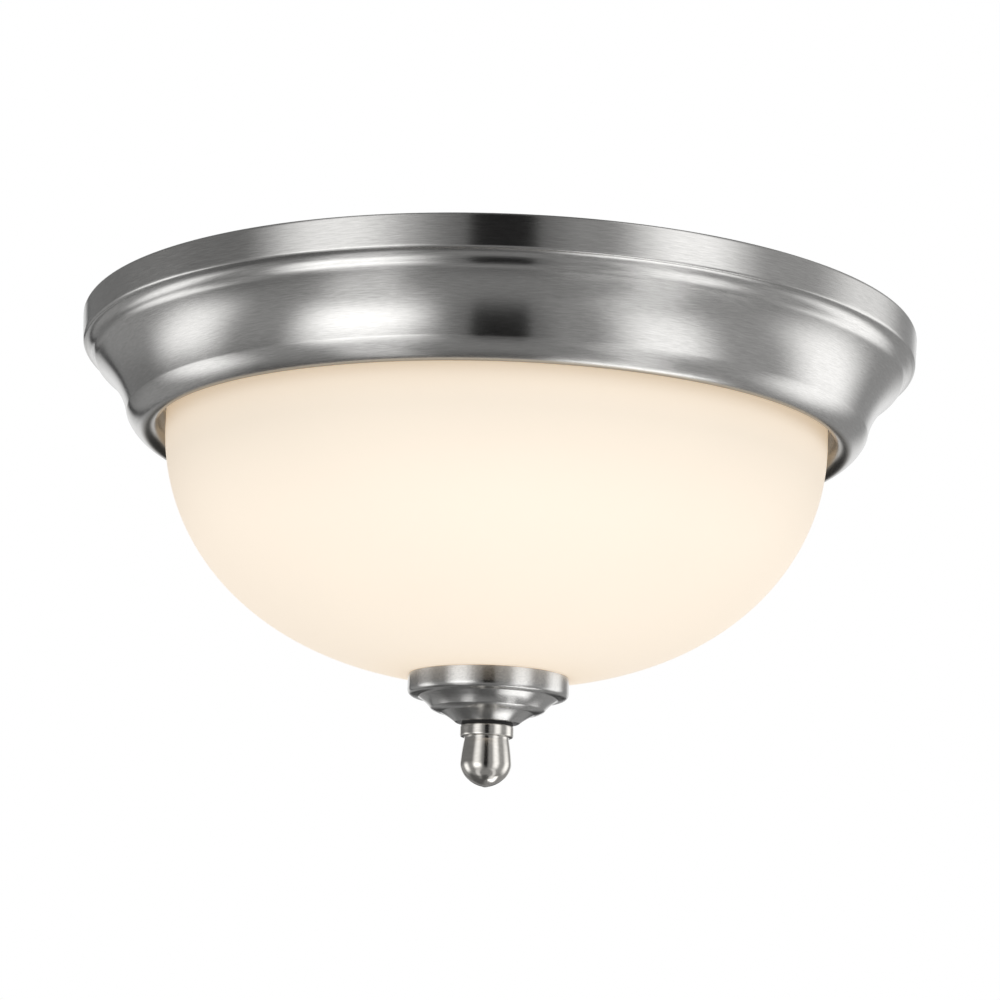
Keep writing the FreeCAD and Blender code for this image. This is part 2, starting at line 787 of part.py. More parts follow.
def make_long_lead():
    # from the holder's back, through the bushing and under the crossbar to the far connector
    y = lead_back_y
    x = bushing_x
    level = connector_z
    through_y = bushing_y - lead_side
    points = [Vector(lead_back_x, y, holder_z - lead_hole_rise),
              Vector(bracket_x + 18, y, holder_z - lead_hole_rise),
              Vector(bracket_x + 20, y - 10, holder_z + 16),
              Vector(x, through_y, floor_z - 14),
              Vector(x, through_y, level),
              Vector(x - 18, through_y - 1, level),
              Vector(x - 33, through_y - 2, level),
              Vector(x - 46, through_y - 8, level),
              Vector(x - 50, through_y - 20, level),
              Vector(lead_side, through_y - 30, level),
              Vector(lead_side, -lead_end_y, level)]
    return along(lead_radius, points)


def make_bulb_envelope():
    turn = bulb_turn_angle
    centre = bulb_centre
    low = bulb_neck_end

    def outline(inset):
        # sphere with a hollow neck that flows into it
        neck = bulb_neck_radius - inset
        radius = bulb_radius - inset
        hollow = bulb_hollow + inset
        join = at(radius * math.cos(turn), centre - radius * math.sin(turn))
        half = turn / 2
        bend = at(neck + hollow - hollow * math.cos(half), low + hollow * math.sin(half))
        return [line(at(0, low), at(neck, low)),
                arc(at(neck, low), bend, join),
                arc(join, at(radius, centre), at(0, centre + radius)),
                line(at(0, centre + radius), at(0, low))]

    return turned(outline(0.0)).cut(turned(outline(bulb_glass)))


def make_bulb_cap():
    # rolled brass cap with the wave of its thread
    mean = (bulb_cap_crest + bulb_cap_root) / 2
    wave = (bulb_cap_crest - bulb_cap_root) / 2
    steps = 8
    points = []
    for k in range(bulb_thread_turns * steps + 1):
        points.append(at(mean - wave * math.cos(2 * math.pi * k / steps),
                         bulb_thread_start + bulb_thread_pitch * k / steps))
    curve = Part.BSplineCurve()
    curve.interpolate(points)
    collar_z = bulb_thread_end + bulb_cap_collar_rise
    seat = bulb_neck_radius + bulb_cap_gap
    inner = bulb_cap_root - bulb_cap_wall - wave
    bottom = bulb_insulator_radius
    outline = [
        points[-1],
        at(bulb_cap_crest, collar_z),
        at(bulb_cap_crest, bulb_cap_end),
        at(seat, bulb_cap_end),
        at(seat, bulb_thread_end),
        at(inner, bulb_thread_start),
        at(bottom - bulb_cap_wall, bulb_cap_start),
        at(bottom, bulb_cap_start),
        points[0],
    ]
    edges = [line(a, b) for a, b in zip(outline, outline[1:])]
    return turned(edges + [curve.toShape()])


def make_bulb_insulator():
    inner = at(bulb_tip_radius + bulb_insulator_rim, bulb_tip_height)
    outer = at(bulb_insulator_radius, bulb_cap_start)
    edges = [
        line(at(0, bulb_tip_height), inner),
        bulged(inner, outer, -bulb_insulator_hollow),
        line(outer, at(0, bulb_cap_start)),
        line(at(0, bulb_cap_start), at(0, bulb_tip_height)),
    ]
    return turned(edges)


def make_bulb_tip():
    edges = [
        line(at(0, 0), at(bulb_tip_flat, 0)),
        arc(at(bulb_tip_flat, 0), at(bulb_tip_radius - bulb_tip_round, bulb_tip_round_height),
            at(bulb_tip_radius, bulb_tip_height)),
        line(at(bulb_tip_radius, bulb_tip_height), at(0, bulb_tip_height)),
        line(at(0, bulb_tip_height), at(0, 0)),
    ]
    return turned(edges)


def make_bulb_stem():
    start = bulb_neck_end + stem_set_back
    foot = start + stem_foot_height
    top = start + stem_length
    foot_radius = bulb_neck_radius - bulb_glass - stem_side_gap
    outline = [at(0, start), at(foot_radius, start), at(foot_radius, foot),
               at(stem_radius + stem_flare_width, foot + stem_flare_height),
               at(stem_radius, foot + stem_flare_end), at(stem_radius, top - stem_point), at(0, top)]
    return turned(closed(outline))


def make_bulb_filament():
    # two support wires in the stem's top and the filament between them
    top = bulb_neck_end + stem_set_back + stem_length
    foot = top - filament_in_stem
    end = top + filament_rise
    points = [Vector(-filament_foot, 0, foot), Vector(-filament_spread, 0, end),
              Vector(0, 0, end + filament_sag),
              Vector(filament_spread, 0, end), Vector(filament_foot, 0, foot)]
    path = Part.Wire(rounded(points, [filament_bend, filament_top_bend, filament_bend]))
    section = Part.Wire(Part.makeCircle(filament_radius, points[0], points[1] - points[0]))
    wire = path.makePipeShell([section], True, False)
    return wire.cut(make_bulb_stem())


def bobeche_top_z():
    return bowl_surface_z(bobeche_radius - bobeche_wall, glass_radius, bowl_depth) - glass_touch_gap


def bobeche_bottom_z():
    return (bobeche_top_z() - bobeche_band - bobeche_step_drop - bobeche_lip_drop
            - bobeche_cone_drop - bobeche_ring_drop - bobeche_end_drop)


def finial_top_z():
    return bobeche_bottom_z() - finial_washer_thickness


def make_bobeche():
    top = bobeche_top_z()
    band_z = top - bobeche_band
    step_z = band_z - bobeche_step_drop
    lip = at(bobeche_lip_radius, step_z - bobeche_lip_drop)
    ring_start = at(bobeche_ring_radius, lip.z - bobeche_cone_drop)
    ring_end = at(bobeche_ring_end, ring_start.z - bobeche_ring_drop)
    flat = at(bobeche_end_radius, bobeche_bottom_z())
    rim = rounded(
        [at(bobeche_radius, top), at(bobeche_radius, band_z), at(bobeche_step_radius, step_z), lip],
        [bobeche_corner, bobeche_step_drop])
    edges = rim + [
        bulged(lip, ring_start, -bobeche_cone_hollow),
        bulged(ring_start, ring_end, bobeche_ring_bulge),
        bulged(ring_end, flat, -bobeche_end_hollow),
        line(flat, at(hang_radius, flat.z)),
    ]
    return sheet(edges, -bobeche_wall)


def make_glass_grommet():
    inner_glass_z = bowl_surface_z(grommet_flange_radius, glass_radius - glass_wall, bowl_depth - glass_wall)
    top = inner_glass_z + grommet_touch_gap
    low = glass_bottom_z - grommet_touch_gap
    tube = glass_hole_radius - grommet_touch_gap
    bottom = low - grommet_flange_height
    upper = top + grommet_flange_height
    outline = [at(hang_radius, bottom), at(grommet_flange_radius, bottom), at(grommet_flange_radius, low),
               at(tube, low), at(tube, top), at(grommet_flange_radius, top),
               at(grommet_flange_radius, upper), at(hang_radius, upper)]
    return turned(closed(outline))


def make_finial_washer():
    return ring(finial_washer_radius, hang_radius, finial_top_z(), bobeche_bottom_z())


def make_finial():
    top = finial_top_z()
    collar_z = top - finial_collar_height
    neck_z = collar_z - finial_neck_drop
    belly_z = neck_z - finial_belly_drop
    shoulder_z = belly_z - finial_shoulder_drop
    point_z = shoulder_z - finial_point_drop
    tip_z = point_z - finial_tip_drop
    bore = rod_radius + running_gap
    bore_z = top - rod_in_finial - finial_bore_spare
    collar = rounded(
        [at(bore, top), at(finial_collar_radius, top), at(finial_collar_radius, collar_z),
         at(finial_neck_radius, collar_z), at(finial_neck_radius, neck_z)],
        [finial_collar_round, finial_collar_round, finial_neck_round])
    neck = at(finial_neck_radius, neck_z)
    belly = at(finial_belly_radius, belly_z)
    shoulder = at(finial_shoulder_radius, shoulder_z)
    point = at(finial_point_radius, point_z)
    # the tip is a cap of a sphere centred on the axis
    tip_radius = (finial_point_radius ** 2 + finial_tip_drop ** 2) / (2 * finial_tip_drop)
    half_angle = math.asin(finial_point_radius / tip_radius) / 2
    on_tip = at(tip_radius * math.sin(half_angle), tip_z + tip_radius * (1 - math.cos(half_angle)))
    edges = collar + [
        bulged(neck, belly, finial_neck_bulge),
        bulged(belly, shoulder, finial_belly_bulge),
        bulged(shoulder, point, finial_shoulder_bulge),
        arc(point, on_tip, at(0, tip_z)),
        line(at(0, tip_z), at(0, bore_z)),
        line(at(0, bore_z), at(bore, bore_z)),
        line(at(bore, bore_z), at(bore, top)),
    ]
    return turned(edges)


def save(name, solids):
    shape = Part.makeCompound(solids) if isinstance(solids, list) else solids
    if not shape.isValid():
        print("not valid:", name)
    shape.exportStep(os.path.join("parts", name + ".step"))


os.makedirs("parts", exist_ok=True)

pieces = {
    "pan": make_pan(),
    "insulation_pad": make_insulation_pad(),
    "crossbar": make_crossbar(),
    "mounting_studs": make_mounting_studs(),
    "stud_lock_nuts": make_stud_lock_nuts(),
    "cap_nuts": make_cap_nuts(),
    "ground_screw": make_ground_screw(),
    "ground_lead": make_ground_lead(),
    "wire_connectors": make_wire_connectors(),
    "wire_bushings": make_wire_bushings(),
    "centre_rod": make_centre_rod(),
    "rod_lock_washers": make_rod_lock_washers(),
    "rod_nuts": make_rod_nuts(),
    "bracket_rivets": make_rivets(),
    "holder_screws": make_holder_screws(),
    "glass_shade": make_glass_shade(),
    "glass_grommet": make_glass_grommet(),
    "bobeche": make_bobeche(),
    "finial_washer": make_finial_washer(),
    "finial": make_finial(),
}

short_lead = make_short_lead()
long_lead = make_long_lead()
pieces["black_lead_a"] = short_lead
pieces["white_lead_a"] = long_lead
pieces["white_lead_b"] = half_turned(short_lead)
pieces["black_lead_b"] = half_turned(long_lead)

beside_rod = {
    "holder_bracket": make_bracket(),
    "lamp_holder": in_holder(make_holder_body()),
    "screw_shell": in_holder(make_screw_shell()),
    "centre_contact": in_holder(make_centre_contact()),
    "bulb_envelope": in_holder(make_bulb_envelope()),
    "bulb_cap": in_holder(make_bulb_cap()),
    "bulb_insulator": in_holder(make_bulb_insulator()),
    "bulb_tip": in_holder(make_bulb_tip()),
    "bulb_stem": in_holder(make_bulb_stem()),
    "bulb_filament": in_holder(make_bulb_filament()),
}
for name, shape in beside_rod.items():
    pieces[name + "_a"] = shape
    pieces[name + "_b"] = half_turned(shape)

for name, solids in pieces.items():
    save(name, solids)
print(len(pieces), "nodes")
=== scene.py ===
import json
import math
import bmesh
import bpy
from mathutils import Matrix, Vector, noise


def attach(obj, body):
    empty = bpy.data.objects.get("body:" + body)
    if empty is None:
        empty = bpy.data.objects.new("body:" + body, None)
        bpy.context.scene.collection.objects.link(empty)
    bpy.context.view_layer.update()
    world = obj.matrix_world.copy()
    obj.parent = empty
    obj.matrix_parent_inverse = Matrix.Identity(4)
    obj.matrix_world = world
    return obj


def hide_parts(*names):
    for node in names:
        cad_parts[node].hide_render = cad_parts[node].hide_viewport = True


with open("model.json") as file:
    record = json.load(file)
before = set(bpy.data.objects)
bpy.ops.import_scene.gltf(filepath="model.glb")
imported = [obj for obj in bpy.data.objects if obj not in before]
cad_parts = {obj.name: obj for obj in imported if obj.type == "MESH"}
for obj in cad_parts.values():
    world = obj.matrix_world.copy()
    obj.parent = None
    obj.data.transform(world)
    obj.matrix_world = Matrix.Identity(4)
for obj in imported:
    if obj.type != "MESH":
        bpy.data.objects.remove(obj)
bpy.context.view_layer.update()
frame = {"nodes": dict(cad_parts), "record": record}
mm = 0.001
sharpAngle = 30  # an edge stays sharp where its faces meet at more than this, degrees
cornerSteps = 6  # parts that a softened corner is drawn in
print("frame loaded,", len(frame["nodes"]), "nodes")


def toLinear(hexColour):
    # sRGB hex to the linear colour that the shaders want
    parts = [int(hexColour[k:k + 2], 16) / 255 for k in (0, 2, 4)]
    return [c / 12.92 if c <= 0.04045 else ((c + 0.055) / 1.055) ** 2.4 for c in parts] + [1.0]


def addNode(tree, kind, settings=None, inputs=None):
    # adds a node; an input is a plain value, or a socket to link from
    node = tree.nodes.new(kind)
    for name, value in (settings or {}).items():
        setattr(node, name, value)
    for name, value in (inputs or {}).items():
        if isinstance(value, bpy.types.NodeSocket):
            tree.links.new(value, node.inputs[name])
        else:
            node.inputs[name].default_value = value
    return node


def newMaterial(name):
    material = bpy.data.materials.new(name)
    material.use_nodes = True
    tree = material.node_tree
    tree.nodes.clear()
    return material, tree


def surface(tree, shader):
    addNode(tree, "ShaderNodeOutputMaterial", {}, {"Surface": shader.outputs[0]})


def meshObject(name, points, faces, smoothAngle=sharpAngle):
    mesh = bpy.data.meshes.new(name)
    mesh.from_pydata([tuple(p) for p in points], [], faces)
    work = bmesh.new()
    work.from_mesh(mesh)
    bmesh.ops.remove_doubles(work, verts=work.verts, dist=1e-6)
    bmesh.ops.recalc_face_normals(work, faces=work.faces)
    work.to_mesh(mesh)
    work.free()
    for face in mesh.polygons:
        face.use_smooth = True
    mesh.set_sharp_from_angle(angle=math.radians(smoothAngle))
    thing = bpy.data.objects.new(name, mesh)
    bpy.context.scene.collection.objects.link(thing)
    return thing


def lathe(name, outline, segments=256, smoothAngle=sharpAngle, shape=None):
    # closed outline of (radius, z) in mm turned about Z; shape may move a point by its angle
    points = []
    for k in range(segments):
        angle = 2 * math.pi * k / segments
        for radius, z in outline:
            r, height = shape(radius, z, angle) if shape else (radius, z)
            points.append((r * mm * math.cos(angle), r * mm * math.sin(angle), height * mm))
    count = len(outline)
    faces = []
    for k in range(segments):
        here, there = k * count, (k + 1) % segments * count
        for i in range(count):
            j = (i + 1) % count
            # a run that lies on the axis makes no face
            if outline[i][0] > 1e-6 or outline[j][0] > 1e-6:
                faces.append((here + i, here + j, there + j, there + i))
    return meshObject(name, points, faces, smoothAngle)


def smooth(share):
    share = max(0.0, min(1.0, share))
    return share * share * (3 - 2 * share)


def straight(start, end, steps=1):
    return [(start[0] + (end[0] - start[0]) * k / steps, start[1] + (end[1] - start[1]) * k / steps)
            for k in range(steps + 1)]


def bulged(start, end, bulge, steps=12):
    # arc between two outline points; for a run that goes down, a bulge above zero is outwards
    chord = Vector((end[0] - start[0], end[1] - start[1]))
    half = chord.length / 2
    side = Vector((-chord.y, chord.x)).normalized() * math.copysign(1, bulge)
    height = abs(bulge)
    radius = (half * half + height * height) / (2 * height)
    centre = Vector(start) + chord / 2 + side * (height - radius)
    spread = math.asin(min(1, half / radius))
    along = chord.normalized()
    points = []
    for k in range(steps + 1):
        angle = -spread + 2 * spread * k / steps
        point = centre + side * radius * math.cos(angle) + along * radius * math.sin(angle)
        points.append((point.x, point.y))
    return points


def cutBack(points, distance):
    # the point that far along the run, and the points after it
    for k in range(len(points) - 1):
        a, b = Vector(points[k]), Vector(points[k + 1])
        step = (b - a).length
        if distance < step:
            cut = a.lerp(b, distance / step)
            return (cut.x, cut.y), points[k + 1:]
        distance -= step
    return points[-1], []


def joined(runs, softness):
    # runs end to end, with each join softened over that many mm on both sides
    whole = list(runs[0])
    for run, soft in zip(runs[1:], softness):
        corner = Vector(whole[-1])
        before, kept = cutBack(whole[::-1], soft)
        after, rest = cutBack(run, soft)
        whole = kept[::-1] + [before]
        for k in range(1, cornerSteps):
            t = k / cornerSteps
            p = Vector(before) * (1 - t) ** 2 + corner * 2 * t * (1 - t) + Vector(after) * t * t
            whole.append((p.x, p.y))
        whole += [after] + rest
    return whole


def rolledThread(look, plain=0.0):
    # right-hand thread as a wave about the outline; plain is how far the part without thread stands out
    def shape(radius, z, angle):
        if radius < look["from"]:
            return radius, z
        share = smooth(min(z - look["low"], look["high"] - z) / look["pitch"])
        turn = math.cos(2 * math.pi * z / look["pitch"] - angle)
        return radius + plain * (1 - share) + look["wave"] * share * turn, z
    return shape


def copied(piece, places):
    # the piece's mesh once at each place
    work = bmesh.new()
    for place in places:
        copy = piece.data.copy()
        copy.transform(place)
        work.from_mesh(copy)
        bpy.data.meshes.remove(copy)
    work.to_mesh(piece.data)
    work.free()
    return piece


def moved(x, y, z=0.0):
    return Matrix.Translation((x * mm, y * mm, z * mm))


def drilled(piece, holes, segments=64):
    # round holes along Z as (radius, x, y, low, high) in mm, cut for good
    work = bmesh.new()
    for radius, x, y, low, high in holes:
        bmesh.ops.create_cone(work, cap_ends=True, segments=segments, radius1=radius * mm,
                              radius2=radius * mm, depth=(high - low) * mm,
                              matrix=moved(x, y, (low + high) / 2))
    mesh = bpy.data.meshes.new("drill")
    work.to_mesh(mesh)
    work.free()
    drill = bpy.data.objects.new("drill", mesh)
    bpy.context.scene.collection.objects.link(drill)
    cut = piece.modifiers.new("holes", "BOOLEAN")
    cut.object = drill
    cut.solver = "EXACT"
    bpy.context.view_layer.update()
    whole = piece.evaluated_get(bpy.context.evaluated_depsgraph_get())
    holed = bpy.data.meshes.new_from_object(whole)
    piece.modifiers.clear()
    piece.data = holed
    for face in holed.polygons:
        face.use_smooth = True
    holed.set_sharp_from_angle(angle=math.radians(sharpAngle))
    bpy.data.objects.remove(drill)
    return piece


def thickened(line, wall):
    # the open line with a parallel one at wall to its left, as one closed outline
    other = []
    for k, point in enumerate(line):
        before = Vector(line[max(k - 1, 0)])
        after = Vector(line[min(k + 1, len(line) - 1)])
        run = (after - before).normalized()
        other.append((point[0] - run.y * wall, point[1] + run.x * wall))
    return list(line) + other[::-1]


# spun steel pan: sizes in mm, from the rim on the ceiling to the hole of the rod
pan = {
    "wall": 0.9, "rimRadius": 165.2, "bandHeight": 11.0, "bandDraw": 0.6,
    "rimTurnIn": 0.4, "rimTurnHeight": 1.2,
    "edgeWidth": 1.2, "edgeHeight": 1.15, "edgeBulge": 0.27,
    "grooveWidth": 3.0, "grooveHeight": 3.3, "grooveHollow": 0.55,
    "beadWidth": 1.6, "beadHeight": 2.5, "beadBulge": 0.24,
    "coveWidth": 12.6, "coveHeight": 20.25, "coveHollow": 2.25,
    "lipWidth": 12.9, "lipHeight": 7.0, "lipBulge": 0.5, "lipRoll": 4.9, "lipTurn": 52,
    "seatZ": -31.0, "seatWidth": 7.7, "coneWidth": 6.6, "floorZ": -12.0, "rodHole": 4.9,
    "edgeSoftness": [0.2, 0.4, 0.15, 0.3, 0.4, 0.35, 0.2, 0.2, 1.2, 1.2, 2.2],
}


def panOutline():
    bandRadius = pan["rimRadius"] - pan["bandDraw"]
    bandEnd = (bandRadius, -pan["bandHeight"])
    turnDraw = pan["bandDraw"] * pan["rimTurnHeight"] / pan["bandHeight"]
    turnEnd = (pan["rimRadius"] - turnDraw, -pan["rimTurnHeight"])
    edgeEnd = (bandRadius - pan["edgeWidth"], bandEnd[1] - pan["edgeHeight"])
    groove = (edgeEnd[0] - pan["grooveWidth"], edgeEnd[1] - pan["grooveHeight"])
    beadEnd = (groove[0] - pan["beadWidth"], groove[1] - pan["beadHeight"])
    crease = (beadEnd[0] - pan["coveWidth"], beadEnd[1] - pan["coveHeight"])
    inner = crease[0] - pan["lipWidth"]
    lipZ = crease[1] - pan["lipHeight"]
    roll = pan["lipRoll"]

    def onRoll(degrees):
        angle = math.radians(degrees)
        return (inner + roll + roll * math.cos(angle), lipZ + roll + roll * math.sin(angle))

    turn = pan["lipTurn"]
    rollSteps = 14
    rollRun = [onRoll(-turn - (180 - turn) * k / rollSteps) for k in range(rollSteps + 1)]
    seatEdge = inner - pan["seatWidth"]
    floorRadius = seatEdge - pan["coneWidth"]
    runs = [
        bulged((pan["rimRadius"] - pan["rimTurnIn"], 0), turnEnd, pan["rimTurnIn"] / 3, 8),
        straight(turnEnd, bandEnd, 6),
        bulged(bandEnd, edgeEnd, pan["edgeBulge"]),
        bulged(edgeEnd, groove, -pan["grooveHollow"]),
        bulged(groove, beadEnd, pan["beadBulge"]),
        bulged(beadEnd, crease, -pan["coveHollow"], 20),
        bulged(crease, rollRun[0], pan["lipBulge"]),
        rollRun,
        straight(rollRun[-1], (inner, pan["seatZ"]), 3),
        straight((inner, pan["seatZ"]), (seatEdge, pan["seatZ"]), 3),
        straight((seatEdge, pan["seatZ"]), (floorRadius, pan["floorZ"]), 6),
        straight((floorRadius, pan["floorZ"]), (pan["rodHole"], pan["floorZ"]), 8),
    ]
    return joined(runs, pan["edgeSoftness"])


# opal bowl hung on the rod, mm
bowl = {
    "radius": 130.7, "wall": 3.2, "rimHeight": 10.7, "rimTopZ": -31.3, "depth": 95.3,
    "fullnessOut": 2.32, "fullnessDown": 2.02, "holeRadius": 6.6, "rimRound": 1.2, "steps": 64,
}


def bowlCurve(side, depth):
    startZ = bowl["rimTopZ"] - bowl["rimHeight"]
    end = math.asin((bowl["holeRadius"] / side) ** (bowl["fullnessOut"] / 2))
    points = []
    for k in range(bowl["steps"] + 1):
        angle = math.pi / 2 + (end - math.pi / 2) * k / bowl["steps"]
        drop = depth * max(0.0, math.cos(angle)) ** (2 / bowl["fullnessDown"])
        points.append((side * math.sin(angle) ** (2 / bowl["fullnessOut"]), startZ - drop))
    return points


def bowlOutline():
    top = bowl["rimTopZ"]
    side = bowl["radius"]
    innerSide = side - bowl["wall"]
    outer = bowlCurve(side, bowl["depth"])
    inner = bowlCurve(innerSide, bowl["depth"] - bowl["wall"])
    runs = [straight((innerSide, top), (side, top), 2), straight((side, top), outer[0], 3), outer]
    return joined(runs, [bowl["rimRound"], 0]) + inner[::-1]


# small cap under the glass, from its band in to the hole of the rod, mm
bobeche = {
    "radius": 31.5, "wall": 0.8, "topZ": -135.75, "band": 7.9, "cornerRound": 2.2,
    "stepWidth": 4.3, "stepDrop": 0.4, "lipWidth": 1.6, "lipDrop": 1.2,
    "coneWidth": 3.3, "coneDrop": 3.35, "coneHollow": 0.2,
    "ringWidth": 4.0, "ringDrop": 1.45, "ringBulge": 0.25,
    "endWidth": 5.9, "endDrop": 3.8, "endHollow": 0.25, "holeRadius": 5.25,
    "edgeSoftness": [0.4, 0.7, 0.25, 0.25, 0.5],
}


def bobecheOutline():
    b = bobeche
    corner = (b["radius"], b["topZ"] - b["band"])
    step = (b["radius"] - b["stepWidth"], corner[1] - b["stepDrop"])
    lip = (step[0] - b["lipWidth"], step[1] - b["lipDrop"])
    ring = (lip[0] - b["coneWidth"], lip[1] - b["coneDrop"])
    ringEnd = (ring[0] - b["ringWidth"], ring[1] - b["ringDrop"])
    flat = (ringEnd[0] - b["endWidth"], ringEnd[1] - b["endDrop"])
    runs = [
        straight((b["radius"], b["topZ"]), corner, 5),
        straight(corner, step, 3),
        straight(step, lip, 2),
        bulged(lip, ring, -b["coneHollow"]),
        bulged(ring, ringEnd, b["ringBulge"]),
        bulged(ringEnd, flat, -b["endHollow"]),
        straight(flat, (b["holeRadius"], flat[1]), 3),
    ]
    return joined(runs, [b["cornerRound"]] + b["edgeSoftness"])


# turned finial, mm
finial = {
    "topZ": -154.85, "boreRadius": 4.9, "boreDepth": 9.6, "collarRadius": 10.4, "collarHeight": 4.6,
    "collarRound": 0.9, "neckCut": 1.7, "neckDrop": 0.9, "neckBulge": 0.15,
    "bellySwell": 1.25, "bellyDrop": 9.8, "bellyBulge": 0.6,
    "shoulderCut": 3.1, "shoulderDrop": 5.5, "shoulderBulge": 0.45,
    "pointRadius": 1.3, "pointDrop": 2.8, "tipDrop": 0.3, "tipBulge": 0.08,
}


def finialOutline():
    f = finial
    top = f["topZ"]
    collar = (f["collarRadius"], top - f["collarHeight"])
    neckTop = (f["collarRadius"] - f["neckCut"], collar[1])
    neck = (neckTop[0], neckTop[1] - f["neckDrop"])
    belly = (neck[0] + f["bellySwell"], neck[1] - f["bellyDrop"])
    shoulder = (belly[0] - f["shoulderCut"], belly[1] - f["shoulderDrop"])
    point = (f["pointRadius"], shoulder[1] - f["pointDrop"])
    tip = (0.0, point[1] - f["tipDrop"])
    bore = top - f["boreDepth"]
    runs = [
        straight((0.0, bore), (f["boreRadius"], bore), 2),
        straight((f["boreRadius"], bore), (f["boreRadius"], top), 2),
        straight((f["boreRadius"], top), (f["collarRadius"], top), 3),
        straight((f["collarRadius"], top), collar, 4),
        straight(collar, neckTop, 2),
        straight(neckTop, neck, 2),
        bulged(neck, belly, f["neckBulge"]),
        bulged(belly, shoulder, f["bellyBulge"]),
        bulged(shoulder, point, f["shoulderBulge"]),
        bulged(point, tip, f["tipBulge"], 6),
    ]
    soft = f["collarRound"]
    return joined(runs, [0.2, 0.3, soft, soft, 0.3, 0.3, 0.8, 0.8, 0.3])


# settings that several nodes share
times = {"operation": "MULTIPLY"}
timesPlus = {"operation": "MULTIPLY_ADD"}
larger = {"operation": "MAXIMUM"}
softStep = {"interpolation_type": "SMOOTHSTEP"}
blend = {"data_type": "RGBA"}


def brushedMetal(name, look):
    # metal with fine lines that run round the lamp's axis
    material, tree = newMaterial(name)
    place = addNode(tree, "ShaderNodeTexCoord").outputs["Object"]
    flat = addNode(tree, "ShaderNodeVectorMath", times, {0: place, 1: (1, 1, 0)})
    radius = addNode(tree, "ShaderNodeVectorMath", {"operation": "LENGTH"}, {0: flat.outputs["Vector"]})
    around = addNode(tree, "ShaderNodeVectorMath", {"operation": "NORMALIZE"}, {0: flat.outputs["Vector"]})
    side = addNode(tree, "ShaderNodeSeparateXYZ", {}, {0: around.outputs["Vector"]})
    height = addNode(tree, "ShaderNodeSeparateXYZ", {}, {0: place}).outputs["Z"]
    perLine = 1 / (look["lineSpacing"] * mm)
    across = addNode(tree, "ShaderNodeMath", times, {0: radius.outputs["Value"], 1: perLine})
    down = addNode(tree, "ShaderNodeMath", times, {0: height, 1: perLine})
    turnX = addNode(tree, "ShaderNodeMath", times, {0: side.outputs["X"], 1: look["strokes"]})
    turnY = addNode(tree, "ShaderNodeMath", times, {0: side.outputs["Y"], 1: look["strokes"]})
    spot = addNode(tree, "ShaderNodeCombineXYZ", {},
                   {0: across.outputs[0], 1: down.outputs[0], 2: turnX.outputs[0]})
    lines = addNode(tree, "ShaderNodeTexNoise", {"noise_dimensions": "4D"},
                    {"Vector": spot.outputs[0], "W": turnY.outputs[0],
                     "Scale": 1.0, "Detail": 3.0, "Roughness": 0.65})
    smudge = addNode(tree, "ShaderNodeTexNoise", {},
                     {"Vector": place, "Scale": 1 / (look["smudgeSize"] * mm),
                      "Detail": 4.0, "Roughness": 0.6})
    both = addNode(tree, "ShaderNodeMath", timesPlus,
                   {0: smudge.outputs["Fac"], 1: look["smudge"], 2: lines.outputs["Fac"]})
    rough = addNode(tree, "ShaderNodeMapRange", {},
                    {"Value": both.outputs[0], "From Min": 0.3, "From Max": 0.7 + look["smudge"],
                     "To Min": look["roughness"] - look["roughSpread"],
                     "To Max": look["roughness"] + look["roughSpread"]})
    tone = addNode(tree, "ShaderNodeMix", blend,
                   {0: lines.outputs["Fac"], 6: toLinear(look["dark"]), 7: toLinear(look["light"])})
    # painted shade: a darker, warmer tone in a ring inside the rolled lip, where the lip lies in shadow
    if "paintedLipShade" in look:
        lipShade = look["paintedLipShade"]
        inside = addNode(tree, "ShaderNodeMapRange", softStep,
                         {"Value": radius.outputs["Value"], "From Min": lipShade["outside"] * mm,
                          "From Max": lipShade["inside"] * mm})
        below = addNode(tree, "ShaderNodeMapRange", softStep,
                        {"Value": height, "From Min": lipShade["top"] * mm, "From Max": lipShade["low"] * mm})
        above = addNode(tree, "ShaderNodeMath", {"operation": "GREATER_THAN"},
                        {0: height, 1: lipShade["bottom"] * mm})
        ring = addNode(tree, "ShaderNodeMath", times, {0: inside.outputs[0], 1: below.outputs[0]})
        share = addNode(tree, "ShaderNodeMath", times, {0: ring.outputs[0], 1: above.outputs[0]})
        tone = addNode(tree, "ShaderNodeMix", blend,
                       {0: share.outputs[0], 6: tone.outputs[2], 7: toLinear(lipShade["tone"])})
    bump = addNode(tree, "ShaderNodeBump", {},
                   {"Strength": look["bump"], "Distance": look["lineDepth"] * mm,
                    "Height": lines.outputs["Fac"]})
    tangent = addNode(tree, "ShaderNodeTangent", {"direction_type": "RADIAL", "axis": "Z"})
    shader = addNode(tree, "ShaderNodeBsdfPrincipled", {},
                     {"Base Color": tone.outputs[2], "Metallic": 1.0, "Roughness": rough.outputs[0],
                      "Anisotropic": look["anisotropic"], "Anisotropic Rotation": 0.25,
                      "Normal": bump.outputs[0], "Tangent": tangent.outputs[0]})
    surface(tree, shader)
    return material


# satin nickel plate on spun steel, brushed on the lathe: soft streaks across the brush lines;
# real lines lie about 0.08 mm apart, drawn coarser so that they show. Inside the rolled lip the tone is a
# painted shade, darker and warmer, standing in for the shadow there; its bottom keeps that off the cap of the
# same metal
spunNickel = brushedMetal("satinNickelPlateBrushedOnSpunSteel", {
    "dark": "A9A8A6", "light": "E2E1DF", "roughness": 0.2, "roughSpread": 0.04, "anisotropic": 0.95,
    "lineSpacing": 0.26, "lineDepth": 0.015, "strokes": 34.0, "bump": 0.35, "smudgeSize": 45, "smudge": 0.5,
    "paintedLipShade": {"outside": 140.5, "inside": 138.0, "top": -38, "low": -42, "bottom": -60, "tone": "8C877E"},
})
